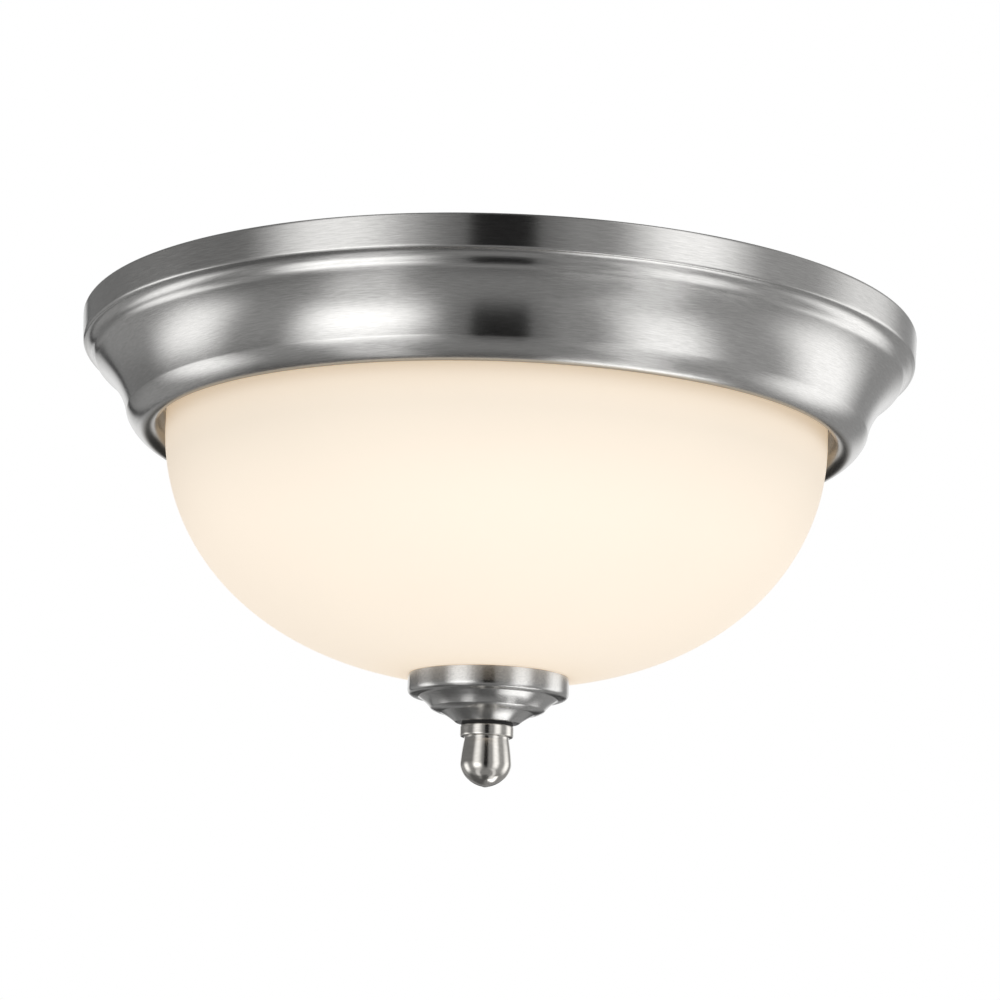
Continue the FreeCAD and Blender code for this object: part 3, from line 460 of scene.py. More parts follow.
# the finial is turned brass under the same plate: finer lines, a little brighter
turnedNickel = brushedMetal("satinNickelPlateOnTurnedBrass", {
    "dark": "B8B5AF", "light": "E8E5E0", "roughness": 0.15, "roughSpread": 0.03, "anisotropic": 0.5,
    "lineSpacing": 0.22, "lineDepth": 0.01, "strokes": 4.0, "bump": 0.25, "smudgeSize": 12, "smudge": 0.4,
})


def opalGlass(name, look):
    # white flashed glass, acid etched outside: an even glow with no sharp gloss
    material, tree = newMaterial(name)
    place = addNode(tree, "ShaderNodeTexCoord").outputs["Object"]
    height = addNode(tree, "ShaderNodeSeparateXYZ", {}, {0: place}).outputs["Z"]
    cloud = addNode(tree, "ShaderNodeTexNoise", {},
                    {"Vector": place, "Scale": 1 / (look["cloudSize"] * mm), "Detail": 2.0, "Roughness": 0.5})
    etch = addNode(tree, "ShaderNodeTexNoise", {},
                   {"Vector": place, "Scale": 1 / (look["etchSize"] * mm), "Detail": 3.0, "Roughness": 0.7})
    # dimmer and warmer towards the rim, and warmer beside the cap
    fade = addNode(tree, "ShaderNodeMapRange", softStep,
                   {"Value": height, "From Min": look["glowLowZ"] * mm, "From Max": look["glowTopZ"] * mm,
                    "To Min": look["glow"], "To Max": look["glow"] * look["rimShare"]})
    upward = addNode(tree, "ShaderNodeMapRange", softStep,
                     {"Value": height, "From Min": look["glowLowZ"] * mm, "From Max": look["glowTopZ"] * mm})
    downward = addNode(tree, "ShaderNodeMapRange", softStep,
                       {"Value": height, "From Min": look["capTopZ"] * mm, "From Max": look["capZ"] * mm})
    warmth = addNode(tree, "ShaderNodeMath", larger, {0: upward.outputs[0], 1: downward.outputs[0]})
    warm = addNode(tree, "ShaderNodeMix", blend,
                   {0: warmth.outputs[0], 6: toLinear(look["light"]), 7: toLinear(look["edgeLight"])})
    # the metal lip throws light back on the glass beside it
    besideLip = addNode(tree, "ShaderNodeMapRange", {},
                        {"Value": height, "From Min": look["lipLowZ"] * mm, "From Max": look["lipZ"] * mm,
                         "To Max": look["lipGlow"]})
    aboveLip = addNode(tree, "ShaderNodeMapRange", {},
                       {"Value": height, "From Min": look["lipZ"] * mm, "From Max": look["seatZ"] * mm,
                        "To Min": look["lipGlow"], "To Max": 0.0})
    lipGlow = addNode(tree, "ShaderNodeMath", {"operation": "MINIMUM"},
                      {0: besideLip.outputs[0], 1: aboveLip.outputs[0]})
    even = addNode(tree, "ShaderNodeMath", {"operation": "ADD"}, {0: fade.outputs[0], 1: lipGlow.outputs[0]})
    glow = addNode(tree, "ShaderNodeMath", timesPlus,
                   {0: cloud.outputs["Fac"], 1: look["cloud"], 2: even.outputs[0]})
    bump = addNode(tree, "ShaderNodeBump", {},
                   {"Strength": look["etchBump"], "Distance": look["etchDepth"] * mm,
                    "Height": etch.outputs["Fac"]})
    shader = addNode(tree, "ShaderNodeBsdfPrincipled", {},
                     {"Base Color": toLinear(look["body"]), "Roughness": look["roughness"], "IOR": 1.5,
                      "Specular IOR Level": look["gloss"], "Emission Color": warm.outputs[2],
                      "Emission Strength": glow.outputs[0], "Normal": bump.outputs[0]})
    surface(tree, shader)
    return material


etchedOpal = opalGlass("opalGlassBlownAndAcidEtched", {
    "body": "F2EDE4", "light": "FFE7CB", "edgeLight": "FFE2BE", "glow": 0.40, "rimShare": 0.74,
    "glowLowZ": -95, "glowTopZ": -45, "capTopZ": -131, "capZ": -137,
    "lipGlow": 0.13, "lipLowZ": -58, "lipZ": -43, "seatZ": -33,
    "cloud": 0.03, "cloudSize": 60, "etchSize": 0.6, "etchBump": 0.15, "etchDepth": 0.02,
    "roughness": 0.55, "gloss": 0.35,
})


def plainSurface(name, look):
    # moulded, glazed, plated or extruded surface with its own grain and tone
    material, tree = newMaterial(name)
    place = addNode(tree, "ShaderNodeTexCoord").outputs["Object"]
    grain = addNode(tree, "ShaderNodeTexNoise", {},
                    {"Vector": place, "Scale": 1 / (look["grainSize"] * mm),
                     "Detail": 4.0, "Roughness": 0.6})
    patch = addNode(tree, "ShaderNodeTexNoise", {},
                    {"Vector": place, "Scale": 1 / (look["patchSize"] * mm), "Detail": 3.0})
    tone = addNode(tree, "ShaderNodeMix", blend,
                   {0: patch.outputs["Fac"], 6: toLinear(look["dark"]), 7: toLinear(look["light"])})
    rough = addNode(tree, "ShaderNodeMapRange", {},
                    {"Value": grain.outputs["Fac"], "From Min": 0.3, "From Max": 0.7,
                     "To Min": look["roughness"] - look["roughSpread"],
                     "To Max": look["roughness"] + look["roughSpread"]})
    bump = addNode(tree, "ShaderNodeBump", {},
                   {"Strength": look["bump"], "Distance": look["grainSize"] * mm * 0.2,
                    "Height": grain.outputs["Fac"]})
    shader = addNode(tree, "ShaderNodeBsdfPrincipled", {},
                     {"Base Color": tone.outputs[2], "Roughness": rough.outputs[0], "Normal": bump.outputs[0],
                      **look.get("shader", {})})
    surface(tree, shader)
    return material


metallic = {"Metallic": 1.0}
surfaces = {
    # zinc plate on pressed steel: dull blue-white metal with soft patches
    "zincPlateOnPressedSteel": {"dark": "9A9DA1", "light": "C2C4C6", "roughness": 0.36, "roughSpread": 0.08,
                                "grainSize": 0.5, "patchSize": 6, "bump": 0.15, "shader": metallic},
    # the ground screw's zinc is dyed green: metal under a clear green film
    "greenDyedZincOnSteel": {"dark": "1F6B35", "light": "2E8A48", "roughness": 0.3, "roughSpread": 0.06,
                             "grainSize": 0.4, "patchSize": 3, "bump": 0.1, "shader": metallic},
    # drawn copper, a little tarnished, with die lines along it
    "bareDrawnCopper": {"dark": "A5603C", "light": "D08A62", "roughness": 0.3, "roughSpread": 0.08,
                        "grainSize": 0.4, "patchSize": 5, "bump": 0.15, "shader": metallic},
    # moulded polypropylene: slightly waxy, fine spark texture
    "mouldedOrangePolypropylene": {"dark": "C9651A", "light": "DB7A26", "roughness": 0.42,
                                   "roughSpread": 0.06, "grainSize": 0.35, "patchSize": 8, "bump": 0.2,
                                   "shader": {"IOR": 1.49}},
    # moulded nylon: dark, satin
    "mouldedBlackNylon": {"dark": "161616", "light": "242424", "roughness": 0.45, "roughSpread": 0.07,
                          "grainSize": 0.4, "patchSize": 6, "bump": 0.2, "shader": {"IOR": 1.53}},
    # extruded silicone insulation: soft satin with a faint lengthwise drag
    "extrudedBlackInsulation": {"dark": "141414", "light": "232323", "roughness": 0.4, "roughSpread": 0.06,
                                "grainSize": 0.5, "patchSize": 8, "bump": 0.15, "shader": {"IOR": 1.5}},
    "extrudedWhiteInsulation": {"dark": "D8D5CD", "light": "ECE9E2", "roughness": 0.42, "roughSpread": 0.06,
                                "grainSize": 0.5, "patchSize": 8, "bump": 0.15, "shader": {"IOR": 1.5}},
    # bonded glass fibre felt: matte, yellow, with loose fibres
    "bondedGlassFibreFelt": {"dark": "C9AF62", "light": "EBDD9E", "roughness": 0.9, "roughSpread": 0.05,
                             "grainSize": 0.9, "patchSize": 7, "bump": 0.9,
                             "shader": {"IOR": 1.5, "Sheen Weight": 0.3, "Sheen Roughness": 0.5}},
    # glazed porcelain: hard even gloss over a faintly uneven body
    "glazedPorcelain": {"dark": "E6E3DB", "light": "F4F2EC", "roughness": 0.12, "roughSpread": 0.04,
                        "grainSize": 2.5, "patchSize": 12, "bump": 0.08,
                        "shader": {"IOR": 1.5, "Coat Weight": 0.4}},
    # pressed sheet brass: warm, with draw marks
    "pressedSheetBrass": {"dark": "B08A45", "light": "D9B871", "roughness": 0.3, "roughSpread": 0.07,
                          "grainSize": 0.5, "patchSize": 6, "bump": 0.12, "shader": metallic},
    # rolled aluminium bulb cap: bright, with fine scuffs
    "rolledAluminiumCap": {"dark": "B8B6B0", "light": "DAD8D2", "roughness": 0.28, "roughSpread": 0.08,
                           "grainSize": 0.6, "patchSize": 5, "bump": 0.12, "shader": metallic},
    # black glass fused into the cap: glossy, with a few flow marks
    "fusedBlackGlass": {"dark": "0C0C10", "light": "17171C", "roughness": 0.14, "roughSpread": 0.05,
                        "grainSize": 1.2, "patchSize": 4, "bump": 0.15, "shader": {"IOR": 1.55}},
    # a soldered tip: dull grey metal with a ripple where it froze
    "frozenSolder": {"dark": "8A8C8E", "light": "B6B8B9", "roughness": 0.34, "roughSpread": 0.1,
                     "grainSize": 0.9, "patchSize": 2, "bump": 0.35, "shader": metallic},
    # tungsten wire, drawn: dark steel grey
    "drawnTungsten": {"dark": "55565A", "light": "74757A", "roughness": 0.4, "roughSpread": 0.05,
                      "grainSize": 0.3, "patchSize": 2, "bump": 0.1, "shader": metallic},
    # moulded rubber: near black, matte, with a light bloom
    "mouldedRubber": {"dark": "1B1B1B", "light": "2C2B2A", "roughness": 0.7, "roughSpread": 0.08,
                      "grainSize": 0.5, "patchSize": 4, "bump": 0.3, "shader": {"IOR": 1.52}},
    # vulcanised fibre, punched: black, dull, with a paper-like edge
    "punchedBlackFibre": {"dark": "0F0D0C", "light": "1C1A18", "roughness": 0.65, "roughSpread": 0.1,
                          "grainSize": 0.4, "patchSize": 3, "bump": 0.3, "shader": {"IOR": 1.5}},
    # lamp glass frosted inside: white from inside, faint gloss outside, lit warm
    "lampGlassFrostedInside": {"dark": "F0ECE2", "light": "FAF6EC", "roughness": 0.3, "roughSpread": 0.05,
                               "grainSize": 0.8, "patchSize": 20, "bump": 0.05,
                               "shader": {"IOR": 1.5, "Emission Color": toLinear("FFE2B8"),
                                          "Emission Strength": 0.9}},
}
finishes = {name: plainSurface(name, look) for name, look in surfaces.items()}


def clearGlass(name, look):
    # drawn lead glass of the stem: clear, faint waves from drawing
    material, tree = newMaterial(name)
    place = addNode(tree, "ShaderNodeTexCoord").outputs["Object"]
    wave = addNode(tree, "ShaderNodeTexNoise", {},
                   {"Vector": place, "Scale": 1 / (look["waveSize"] * mm), "Detail": 2.0})
    bump = addNode(tree, "ShaderNodeBump", {},
                   {"Strength": look["bump"], "Distance": look["waveDepth"] * mm,
                    "Height": wave.outputs["Fac"]})
    shader = addNode(tree, "ShaderNodeBsdfPrincipled", {},
                     {"Base Color": toLinear(look["tint"]), "Roughness": look["roughness"], "IOR": 1.52,
                      "Transmission Weight": 1.0, "Normal": bump.outputs[0]})
    surface(tree, shader)
    return material


finishes["drawnClearGlass"] = clearGlass("drawnClearGlass", {
    "tint": "F4F8F8", "roughness": 0.03, "waveSize": 3, "waveDepth": 0.1, "bump": 0.1,
})
print("materials made")

# which finish each of the record's slots gets
slotFinish = {
    "brushed_nickel": spunNickel,
    "turned_nickel": turnedNickel,
    "opal_glass": etchedOpal,
    "zinc_plate": finishes["zincPlateOnPressedSteel"],
    "green_screw": finishes["greenDyedZincOnSteel"],
    "copper": finishes["bareDrawnCopper"],
    "connector_plastic": finishes["mouldedOrangePolypropylene"],
    "bushing_plastic": finishes["mouldedBlackNylon"],
    "black_insulation": finishes["extrudedBlackInsulation"],
    "white_insulation": finishes["extrudedWhiteInsulation"],
    "glass_fibre": finishes["bondedGlassFibreFelt"],
    "porcelain": finishes["glazedPorcelain"],
    "shell_brass": finishes["pressedSheetBrass"],
    "cap_metal": finishes["rolledAluminiumCap"],
    "black_glass": finishes["fusedBlackGlass"],
    "solder": finishes["frozenSolder"],
    "clear_glass": finishes["drawnClearGlass"],
    "tungsten": finishes["drawnTungsten"],
    "rubber": finishes["mouldedRubber"],
    "fibre": finishes["punchedBlackFibre"],
    "frosted_glass": finishes["lampGlassFrostedInside"],
}
nodeSlot = {part["node"]: part["material_slot"] for part in frame["record"]["subparts"]}
nodeBody = {node: body for body, nodes in frame["record"]["behaviour"]["bodies"].items() for node in nodes}
for node, thing in frame["nodes"].items():
    thing.data.materials.clear()
    thing.data.materials.append(slotFinish[nodeSlot[node]])


def dress(piece, node):
    # a Blender piece in place of a CAD node: its body, its slot and its finish
    piece.data.materials.clear()
    piece.data.materials.append(slotFinish[nodeSlot[node]])
    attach(piece, nodeBody[node])
    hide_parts(node)
    return piece


halfTurn = Matrix.Rotation(math.pi, 4, "Z")

# holes in the pan's floor besides the rod's, one of each pair, mm: radius, x, y
floorHoles = {"bushing": (6.35, 62.0, 14.0), "stud": (2.1, 54.0, 0.0),
              "rivetNear": (1.65, 76.0, 36.0), "rivetFar": (1.65, 76.0, 44.0)}
drillReach = 4.0
panHoles = [(radius, side * x, side * y, pan["floorZ"] - drillReach, pan["floorZ"] + drillReach)
            for radius, x, y in floorHoles.values() for side in (1, -1)]
dress(drilled(lathe("spunPan", thickened(panOutline(), -pan["wall"]), 256), panHoles), "pan")
dress(lathe("opalBowl", bowlOutline(), 256, 60), "glass_shade")
dress(lathe("bobecheCap", thickened(bobecheOutline(), -bobeche["wall"]), 256), "bobeche")
dress(lathe("turnedFinial", finialOutline(), 192), "finial")
print("main pieces made")

# threaded lamp pipe, 27 threads per inch, mm
rod = {
    "bore": 3.2, "radius": 4.68, "chamfer": 0.5, "lowEnd": -163.25, "highEnd": -5.0, "samples": 5,
    "thread": {"from": 4.4, "low": -163.0, "high": -5.2, "pitch": 0.9407, "wave": 0.17},
}


def pipeOutline(look):
    low, high, inner = look["lowEnd"], look["highEnd"], look["radius"] - look["chamfer"]
    rows = round((high - low) / look["thread"]["pitch"] * look["samples"])
    side = straight((look["radius"], low + look["chamfer"]), (look["radius"], high - look["chamfer"]), rows)
    return [(look["bore"], low), (inner, low)] + side + [(inner, high), (look["bore"], high)]


dress(lathe("threadedRod", pipeOutline(rod), 40, 60, rolledThread(rod["thread"])), "centre_rod")

# the two studs in the crossbar, No. 8-32, mm
stud = {
    "bore": 0.0, "radius": 1.91, "chamfer": 0.35, "lowEnd": -17.5, "highEnd": -0.1, "samples": 6, "x": 54.0,
    "thread": {"from": 1.7, "low": -17.3, "high": -0.3, "pitch": 0.794, "wave": 0.14},
}
studs = lathe("threadedStuds", pipeOutline(stud), 28, 60, rolledThread(stud["thread"]))
dress(copied(studs, [moved(stud["x"], 0), moved(-stud["x"], 0)]), "mounting_studs")

# both lamps lie on their sides: local Z runs from the centre contact out along the bulb, x of the holder's
# frame points down the row of its leads, and b is a turned by half round the rod
lampContact = {"x": 54.01, "y": 40.0, "z": -48.0}  # the centre contact of lamp a, mm
lampPlace = Matrix(((0, 0, -1, lampContact["x"] * mm), (-1, 0, 0, lampContact["y"] * mm),
                    (0, 1, 0, lampContact["z"] * mm), (0, 0, 0, 1)))
lampPlaces = {"a": lampPlace, "b": halfTurn @ lampPlace}

# bulb cap with its rolled thread, mm from the centre contact
bulbCap = {
    "start": 5.0, "startRadius": 11.8, "shoulder": 7.0, "threadEnd": 21.516, "collar": 22.5, "end": 26.0,
    "mean": 12.7, "collarRadius": 13.05, "seatRadius": 12.65, "wall": 0.35,
    "thread": {"from": 11.9, "low": 6.6, "high": 22.0, "pitch": 3.629, "wave": 0.35},
}
# screw shell pressed from sheet: same thread, with room round it
screwShell = {
    "floor": -4.0, "top": 18.0, "flangeRadius": 9.25, "mean": 13.05, "wall": 0.35, "flare": 0.35,
    "thread": {"from": 12.0, "low": -3.0, "high": 17.8, "pitch": 3.629, "wave": 0.35},
}
# glazed porcelain body: a foot, a waist and a rolled mouth
holder = {
    "back": -12.0, "radius": 19.0, "footTop": -5.5, "waistRadius": 18.1, "waistLow": -4.6, "waistTop": 17.2,
    "mouthLow": 18.4, "mouth": 22.0, "cupRadius": 14.4, "cupFloor": -4.0,
    "edgeSoftness": [1.5, 0.5, 0.5, 0.6, 0.6, 1.4, 1.2, 0.4],
    "leadHole": (1.3, 13.0, 4.0), "screwHole": (1.75, 0.0, 8.0), "screwDepth": 5.05,
}


def capOutline():
    c = bulbCap
    rows = 40
    inner = c["mean"] - c["wall"]
    side = straight((c["mean"], c["shoulder"]), (c["mean"], c["threadEnd"]), rows)
    back = straight((inner, c["threadEnd"]), (inner, c["shoulder"]), rows)
    return ([(c["startRadius"], c["start"])] + side
            + [(c["collarRadius"], c["collar"]), (c["collarRadius"], c["end"]), (c["seatRadius"], c["end"]),
               (c["seatRadius"], c["collar"])]
            + back + [(c["startRadius"] - c["wall"], c["start"])])


def shellOutline():
    s = screwShell
    rows = 60
    outer = s["mean"] + s["wall"]
    inside = s["floor"] + s["wall"]
    return ([(s["flangeRadius"], s["floor"])] + straight((outer, s["floor"]), (outer, s["top"]), rows)
            + straight((s["mean"], s["top"]), (s["mean"], inside), rows) + [(s["flangeRadius"], inside)])


def holderOutline():
    h = holder
    corners = [(0.0, h["back"]), (h["radius"], h["back"]), (h["radius"], h["footTop"]),
               (h["waistRadius"], h["waistLow"]), (h["waistRadius"], h["waistTop"]),
               (h["radius"], h["mouthLow"]), (h["radius"], h["mouth"]), (h["cupRadius"], h["mouth"]),
               (h["cupRadius"], h["cupFloor"]), (0.0, h["cupFloor"])]
    return joined([straight(a, b) for a, b in zip(corners, corners[1:])], h["edgeSoftness"])


holderHoles = []
for side in (1, -1):
    radius, x, y = holder["leadHole"]
    holderHoles.append((radius, x, side * y, holder["back"] - 1, holder["cupFloor"] + 1))
    radius, x, y = holder["screwHole"]
    holderHoles.append((radius, x, side * y, holder["back"] - 1, holder["back"] + holder["screwDepth"]))
for letter, place in lampPlaces.items():
    cap = lathe("bulbCap_" + letter, capOutline(), 128, 50, rolledThread(bulbCap["thread"]))
    dress(copied(cap, [place]), "bulb_cap_" + letter)
    sleeve = rolledThread(screwShell["thread"], screwShell["flare"])
    shell = lathe("screwShell_" + letter, shellOutline(), 128, 50, sleeve)
    dress(copied(shell, [place]), "screw_shell_" + letter)
    body = drilled(lathe("porcelainHolder_" + letter, holderOutline(), 128), holderHoles)
    dress(copied(body, [place]), "lamp_holder_" + letter)
print("lamp holders and caps made")

# twist-on connectors: plain skirt at the mouth, finger flutes up to the tip, mm from the mouth
connector = {
    "mouthRadius": 4.6, "mouthRound": 0.4, "skirt": 2.4, "bodyRadius": 4.25, "bodyLow": 2.9,
    "shoulderRadius": 3.3, "shoulder": 15.8, "shoulderWidth": 0.3, "shoulderHeight": 1.2,
    "tipRadius": 1.8, "length": 18.0, "boreRadius": 3.4, "boreDepth": 9.0,
    "flutes": 16, "fluteDepth": 0.25, "fluteStart": 1.5, "fluteEnd": 2.0, "plainTip": 0.6,
    "mouthY": 26.0, "z": -6.2, "groundX": 27.25,
}


def fluted(radius, z, angle):
    c = connector
    slack = 0.05
    if radius < c["boreRadius"] + slack and z < c["boreDepth"] + slack:
        return radius, z  # the bore stays round
    fadeOut = smooth((c["length"] - c["plainTip"] - z) / c["fluteEnd"])
    share = smooth((z - c["skirt"]) / c["fluteStart"]) * fadeOut
    return radius - c["fluteDepth"] * share * (0.5 - 0.5 * math.cos(c["flutes"] * angle)), z


def connectorOutline():
    c = connector
    mouth = [(c["boreRadius"], 0.0), (c["mouthRadius"] - c["mouthRound"], 0.0),
             (c["mouthRadius"], c["mouthRound"]), (c["mouthRadius"], c["skirt"])]
    body = straight((c["bodyRadius"], c["bodyLow"]), (c["shoulderRadius"], c["shoulder"]), 14)
    shoulderEnd = (c["shoulderRadius"] - c["shoulderWidth"], c["shoulder"] + c["shoulderHeight"])
    return mouth + body + [shoulderEnd, (c["tipRadius"], c["length"]), (0.0, c["length"]),
                           (0.0, c["boreDepth"]), (c["boreRadius"], c["boreDepth"])]


liveSide = moved(0, connector["mouthY"], connector["z"]) @ Matrix.Rotation(-math.pi / 2, 4, "X")
neutralSide = halfTurn @ liveSide
groundSide = moved(connector["groundX"], 0) @ neutralSide
connectors = lathe("twistOnConnectors", connectorOutline(), 128, 40, fluted)
dress(copied(connectors, [liveSide, neutralSide, groundSide]), "wire_connectors")

# glass fibre pad behind the pan's floor: lumpy felt with soft cut edges, mm
pad = {
    "inner": 73.96, "outer": 115.0, "low": -11.1, "high": -1.5, "edgeSoftness": [0.3, 2.2, 2.2],
    "lump": 1.1, "edgeLump": 1.4, "lumpSize": 8.0, "lumpShare": 0.4, "fuzzSize": 2.2, "fuzzShare": 0.25,
    "headRadius": 3.8, "headRise": 1.3, "rowWidth": 1.3,
}


def padOutline():
    p = pad
    across = round((p["outer"] - p["inner"]) / p["rowWidth"])
    return joined([straight((p["inner"], p["low"]), (p["outer"], p["low"]), across),
                   straight((p["outer"], p["low"]), (p["outer"], p["high"]), 8),
                   straight((p["outer"], p["high"]), (p["inner"], p["high"]), across),
                   straight((p["inner"], p["high"]), (p["inner"], p["low"]), 8)], p["edgeSoftness"])


def lumpy(radius, z, angle):
    # only inwards, and with room over the heads of the rivets
    p = pad
    x, y = radius * math.cos(angle), radius * math.sin(angle)
    spot = Vector((x, y, z))
    lumps = p["lumpShare"] * noise.noise(spot / p["lumpSize"])
    fuzz = p["fuzzShare"] * noise.noise(spot / p["fuzzSize"])
    lump = max(0.0, min(1.0, 0.5 + lumps + fuzz))
    rise = (z - p["low"]) / (p["high"] - p["low"])
    side = 2 * (radius - p["inner"]) / (p["outer"] - p["inner"]) - 1
    height = z - p["lump"] * lump * rise
    for name in ("rivetNear", "rivetFar"):
        headX, headY = floorHoles[name][1:]
        away = min(math.hypot(x - headX, y - headY), math.hypot(x + headX, y + headY))
        if away < p["headRadius"] and rise < 0.01:
            height = z + p["headRise"]
    return radius - side * abs(side) ** 3 * p["edgeLump"] * lump, height


dress(lathe("feltPad", padOutline(), 400, 60, lumpy), "insulation_pad")
print("inner pieces made")

# camera where the photograph was taken from, with its framing
camera = {
    "place": (0.0, -1.08213, -0.29922), "lens": 100.8, "sensor": 36.0,
    "right": (0.99944114, -0.0089644, 0.03220331),
    "up": (-0.03337102, -0.21147114, 0.97681438),
    "forward": (0.00194648, 0.97734313, 0.21165211),
}
cameraData = bpy.data.cameras.new("camera")
cameraData.lens = camera["lens"]
cameraData.sensor_width = camera["sensor"]
cameraData.sensor_fit = "HORIZONTAL"
cameraData.clip_end = 50
cameraObject = bpy.data.objects.new("camera", cameraData)
bpy.context.scene.collection.objects.link(cameraObject)
turn = Matrix((camera["right"], camera["up"], [-v for v in camera["forward"]])).transposed()
cameraObject.matrix_world = Matrix.Translation(camera["place"]) @ turn.to_4x4()
bpy.context.scene.camera = cameraObject

# light tent that only the gloss sees: grey cloth with softboxes behind it and a dark gap where the camera
# stands; azimuth counts from the camera's side towards +X, in degrees as all angles here; full and end are
# how far the even part and the fade reach to each side, tall and fade the same up and down
tent = {
    "radius": 1.55, "centre": (0.0, 0.0, -0.08),
    "lowFrom": -50, "lowTo": -26, "highFrom": 40, "highTo": 62, "high": 0.16,
    "wall": {
        "cloth": {"level": 0.36},
        "clothLeft": {"azimuth": -110, "full": 40, "end": 56, "level": 0.22,
                      "elevation": 24, "tall": 18, "fade": 18},
        "clothRight": {"azimuth": 80, "full": 20, "end": 38, "level": 0.43},
        "frontLeft": {"azimuth": -42, "full": 3, "end": 26, "level": 1.3},
        "frontLeftLow": {"azimuth": -40, "full": 5, "end": 27, "level": 2.2,
                         "elevation": -22, "tall": 4, "fade": 18},
        "frontRight": {"azimuth": 48, "full": 3, "end": 23, "level": 1.5},
        "rearLeft": {"azimuth": -102, "full": 3, "end": 22, "level": 1.6,
                     "elevation": -22, "tall": 8, "fade": 22},
        "rearRight": {"azimuth": 110, "full": 4, "end": 26, "level": 1.6,
                      "elevation": -10, "tall": 10, "fade": 34},
        "farSide": {"azimuth": 180, "full": 22, "end": 36, "level": 0.95,
                    "elevation": 40, "tall": 44, "fade": 10},
        "rearEdge": {"azimuth": -148, "full": 1.2, "end": 2.6, "level": 0.01},
        "rearLow": {"azimuth": 180, "full": 9, "end": 18, "level": 0.05,
                    "elevation": -16, "tall": 6, "fade": 5},
        "besideGap": {"azimuth": 0, "full": 9, "end": 20, "level": 0.2},
        "gap": {"azimuth": 0, "full": 7.6, "end": 8.8, "level": 0.02},
    },
    "low": {
        "cloth": {"level": 0.29},
        "clothRight": {"azimuth": 72, "full": 20, "end": 38, "level": 0.36},
        "rearUnderLeft": {"azimuth": -140, "full": 24, "end": 46, "level": 0.12},
        "underLeft": {"azimuth": -62, "full": 10, "end": 26, "level": 0.85,
                      "elevation": -60, "tall": 10, "fade": 12, "lean": 1.4},
        "underRight": {"azimuth": 70, "full": 8, "end": 24, "level": 0.95,
                       "elevation": -58, "tall": 10, "fade": 12, "lean": -2.1},
        "rearUnderRight": {"azimuth": 134, "full": 10, "end": 24, "level": 2.6,
                           "elevation": -67, "tall": 8, "fade": 12},
        "underneath": {"level": 0.1, "elevation": -90, "tall": 6, "fade": 10},
    },
}


def clothTone(part, azimuth, elevation):
    # later boxes cover earlier ones
    tone = 0.0
    for box in part.values():
        centre = box.get("azimuth", azimuth) + box.get("lean", 0) * (elevation - box.get("elevation", 0))
        away = abs((azimuth - centre + 180) % 360 - 180)
        share = smooth((box["end"] - away) / (box["end"] - box["full"])) if "end" in box else 1.0
        if "fade" in box:
            share *= smooth(1 - (abs(elevation - box["elevation"]) - box["tall"]) / box["fade"])
        tone += (box["level"] - tone) * share
    return tone


tentMesh = bpy.data.meshes.new("tent")
tentWork = bmesh.new()
bmesh.ops.create_uvsphere(tentWork, u_segments=360, v_segments=60, radius=tent["radius"])
tentWork.to_mesh(tentMesh)
tentWork.free()
wallTone = tentMesh.attributes.new("wallTone", "FLOAT", "POINT")
for k, vertex in enumerate(tentMesh.vertices):
    azimuth = math.degrees(math.atan2(vertex.co.x, -vertex.co.y))
    elevation = math.degrees(math.asin(max(-1, min(1, vertex.co.z / tent["radius"]))))
    share = smooth((elevation - tent["lowFrom"]) / (tent["lowTo"] - tent["lowFrom"]))
    wall, low = clothTone(tent["wall"], azimuth, elevation), clothTone(tent["low"], azimuth, elevation)
    tone = low + (wall - low) * share
    share = smooth((elevation - tent["highFrom"]) / (tent["highTo"] - tent["highFrom"]))
    wallTone.data[k].value = tone + (tent["high"] - tone) * share
tentMaterial, tree = newMaterial("tentCloth")
tone = addNode(tree, "ShaderNodeAttribute", {"attribute_name": "wallTone"})
clothLight = addNode(tree, "ShaderNodeEmission", {},
                     {"Color": (1, 1, 1, 1), "Strength": tone.outputs["Fac"]})
surface(tree, clothLight)
tentMesh.materials.append(tentMaterial)
tentWall = bpy.data.objects.new("tent", tentMesh)
tentWall.location = tent["centre"]
bpy.context.scene.collection.objects.link(tentWall)
tentWall.visible_camera = False
tentWall.visible_diffuse = False
tentWall.visible_shadow = False
tentWall.visible_transmission = False

# pale floor well below the lamp, and a white room that the metal and the glass also see
room = {"floorZ": -1.7, "floorSize": 14.0, "floor": "F2F1EE", "fill": 0.5, "floorGlow": 0.45}


def whiteSeen(tree):
    # 1 for rays of the camera, of gloss and of clear glass
    path = addNode(tree, "ShaderNodeLightPath")
    gloss = addNode(tree, "ShaderNodeMath", larger,
                    {0: path.outputs["Is Camera Ray"], 1: path.outputs["Is Glossy Ray"]})
    clear = addNode(tree, "ShaderNodeMath", larger,
                    {0: gloss.outputs[0], 1: path.outputs["Is Transmission Ray"]})
    return clear.outputs[0]


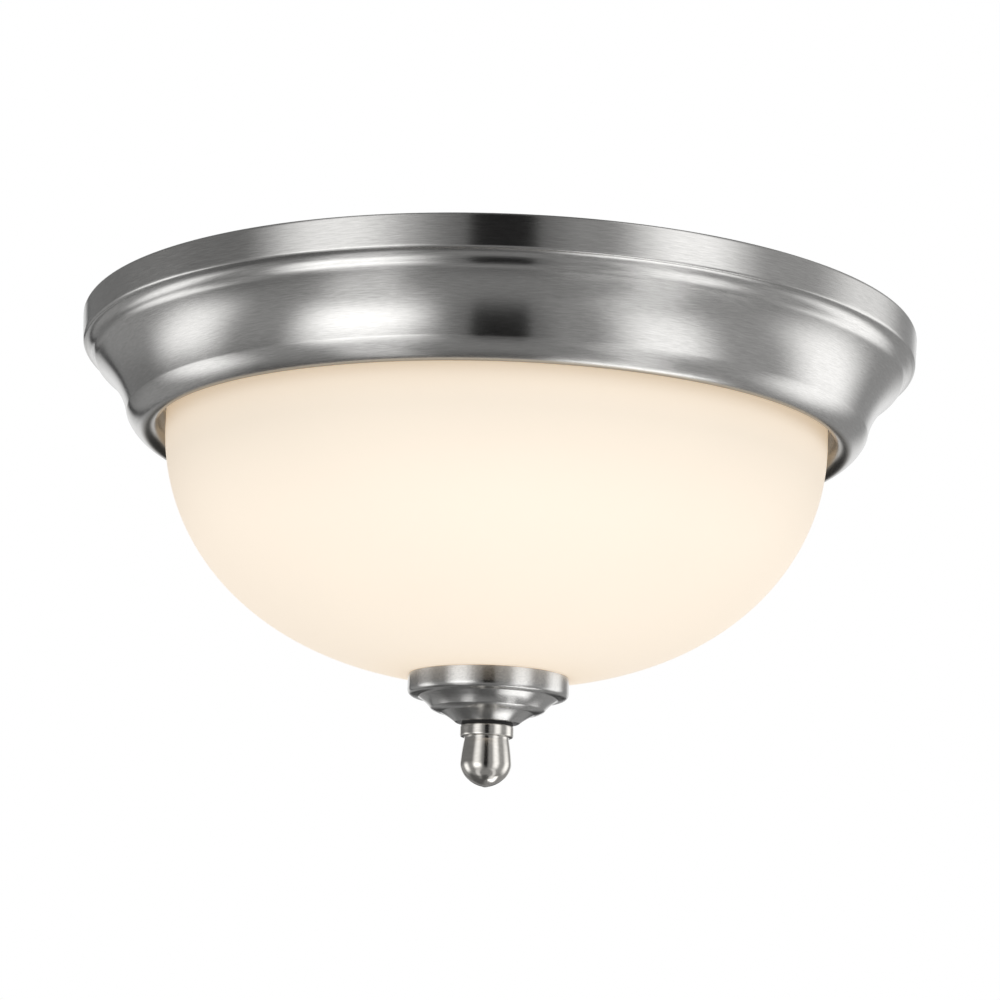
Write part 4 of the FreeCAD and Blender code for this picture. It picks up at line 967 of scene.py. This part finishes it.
world = bpy.data.worlds.new("room")
bpy.context.scene.world = world
world.use_nodes = True
tree = world.node_tree
tree.nodes.clear()
strength = addNode(tree, "ShaderNodeMapRange", {},
                   {"Value": whiteSeen(tree), "To Min": room["fill"], "To Max": 1.0})
background = addNode(tree, "ShaderNodeBackground", {},
                     {"Color": (1, 1, 1, 1), "Strength": strength.outputs[0]})
addNode(tree, "ShaderNodeOutputWorld", {}, {"Surface": background.outputs[0]})

floorMaterial, tree = newMaterial("paintedFloor")
painted = addNode(tree, "ShaderNodeBsdfDiffuse", {}, {"Color": toLinear(room["floor"])})
lift = addNode(tree, "ShaderNodeMath", times, {0: whiteSeen(tree), 1: room["floorGlow"]})
glow = addNode(tree, "ShaderNodeEmission", {}, {"Color": (1, 1, 1, 1), "Strength": lift.outputs[0]})
surface(tree, addNode(tree, "ShaderNodeAddShader", {}, {0: painted.outputs[0], 1: glow.outputs[0]}))
half = room["floorSize"] / 2
floorMesh = bpy.data.meshes.new("floor")
floorMesh.from_pydata([(-half, -half, room["floorZ"]), (half, -half, room["floorZ"]),
                       (half, half, room["floorZ"]), (-half, half, room["floorZ"])], [], [(0, 1, 2, 3)])
floorMesh.materials.append(floorMaterial)
floor = bpy.data.objects.new("floor", floorMesh)
bpy.context.scene.collection.objects.link(floor)

# softboxes: place, size in metres, power in watts
lamps = {
    "keyLeft": {"place": (-1.3, -1.9, 0.2), "size": (1.0, 1.2), "power": 5.6},
    "keyRight": {"place": (1.6, -1.3, 0.2), "size": (0.8, 1.2), "power": 5.4},
    "under": {"place": (0.0, -0.6, -1.5), "size": (1.6, 1.2), "power": 4.1},
}
lampTarget = Vector((0, 0, -0.08))
for name, lamp in lamps.items():
    light = bpy.data.lights.new(name, "AREA")
    light.shape = "RECTANGLE"
    light.size, light.size_y = lamp["size"]
    light.energy = lamp["power"]
    softbox = bpy.data.objects.new(name, light)
    bpy.context.scene.collection.objects.link(softbox)
    softbox.location = lamp["place"]
    softbox.visible_glossy = False
    softbox.rotation_mode = "QUATERNION"
    softbox.rotation_quaternion = (lampTarget - Vector(lamp["place"])).to_track_quat("-Z", "Y")
bpy.context.scene.view_settings.view_transform = "Standard"
print("camera, room and lights set")
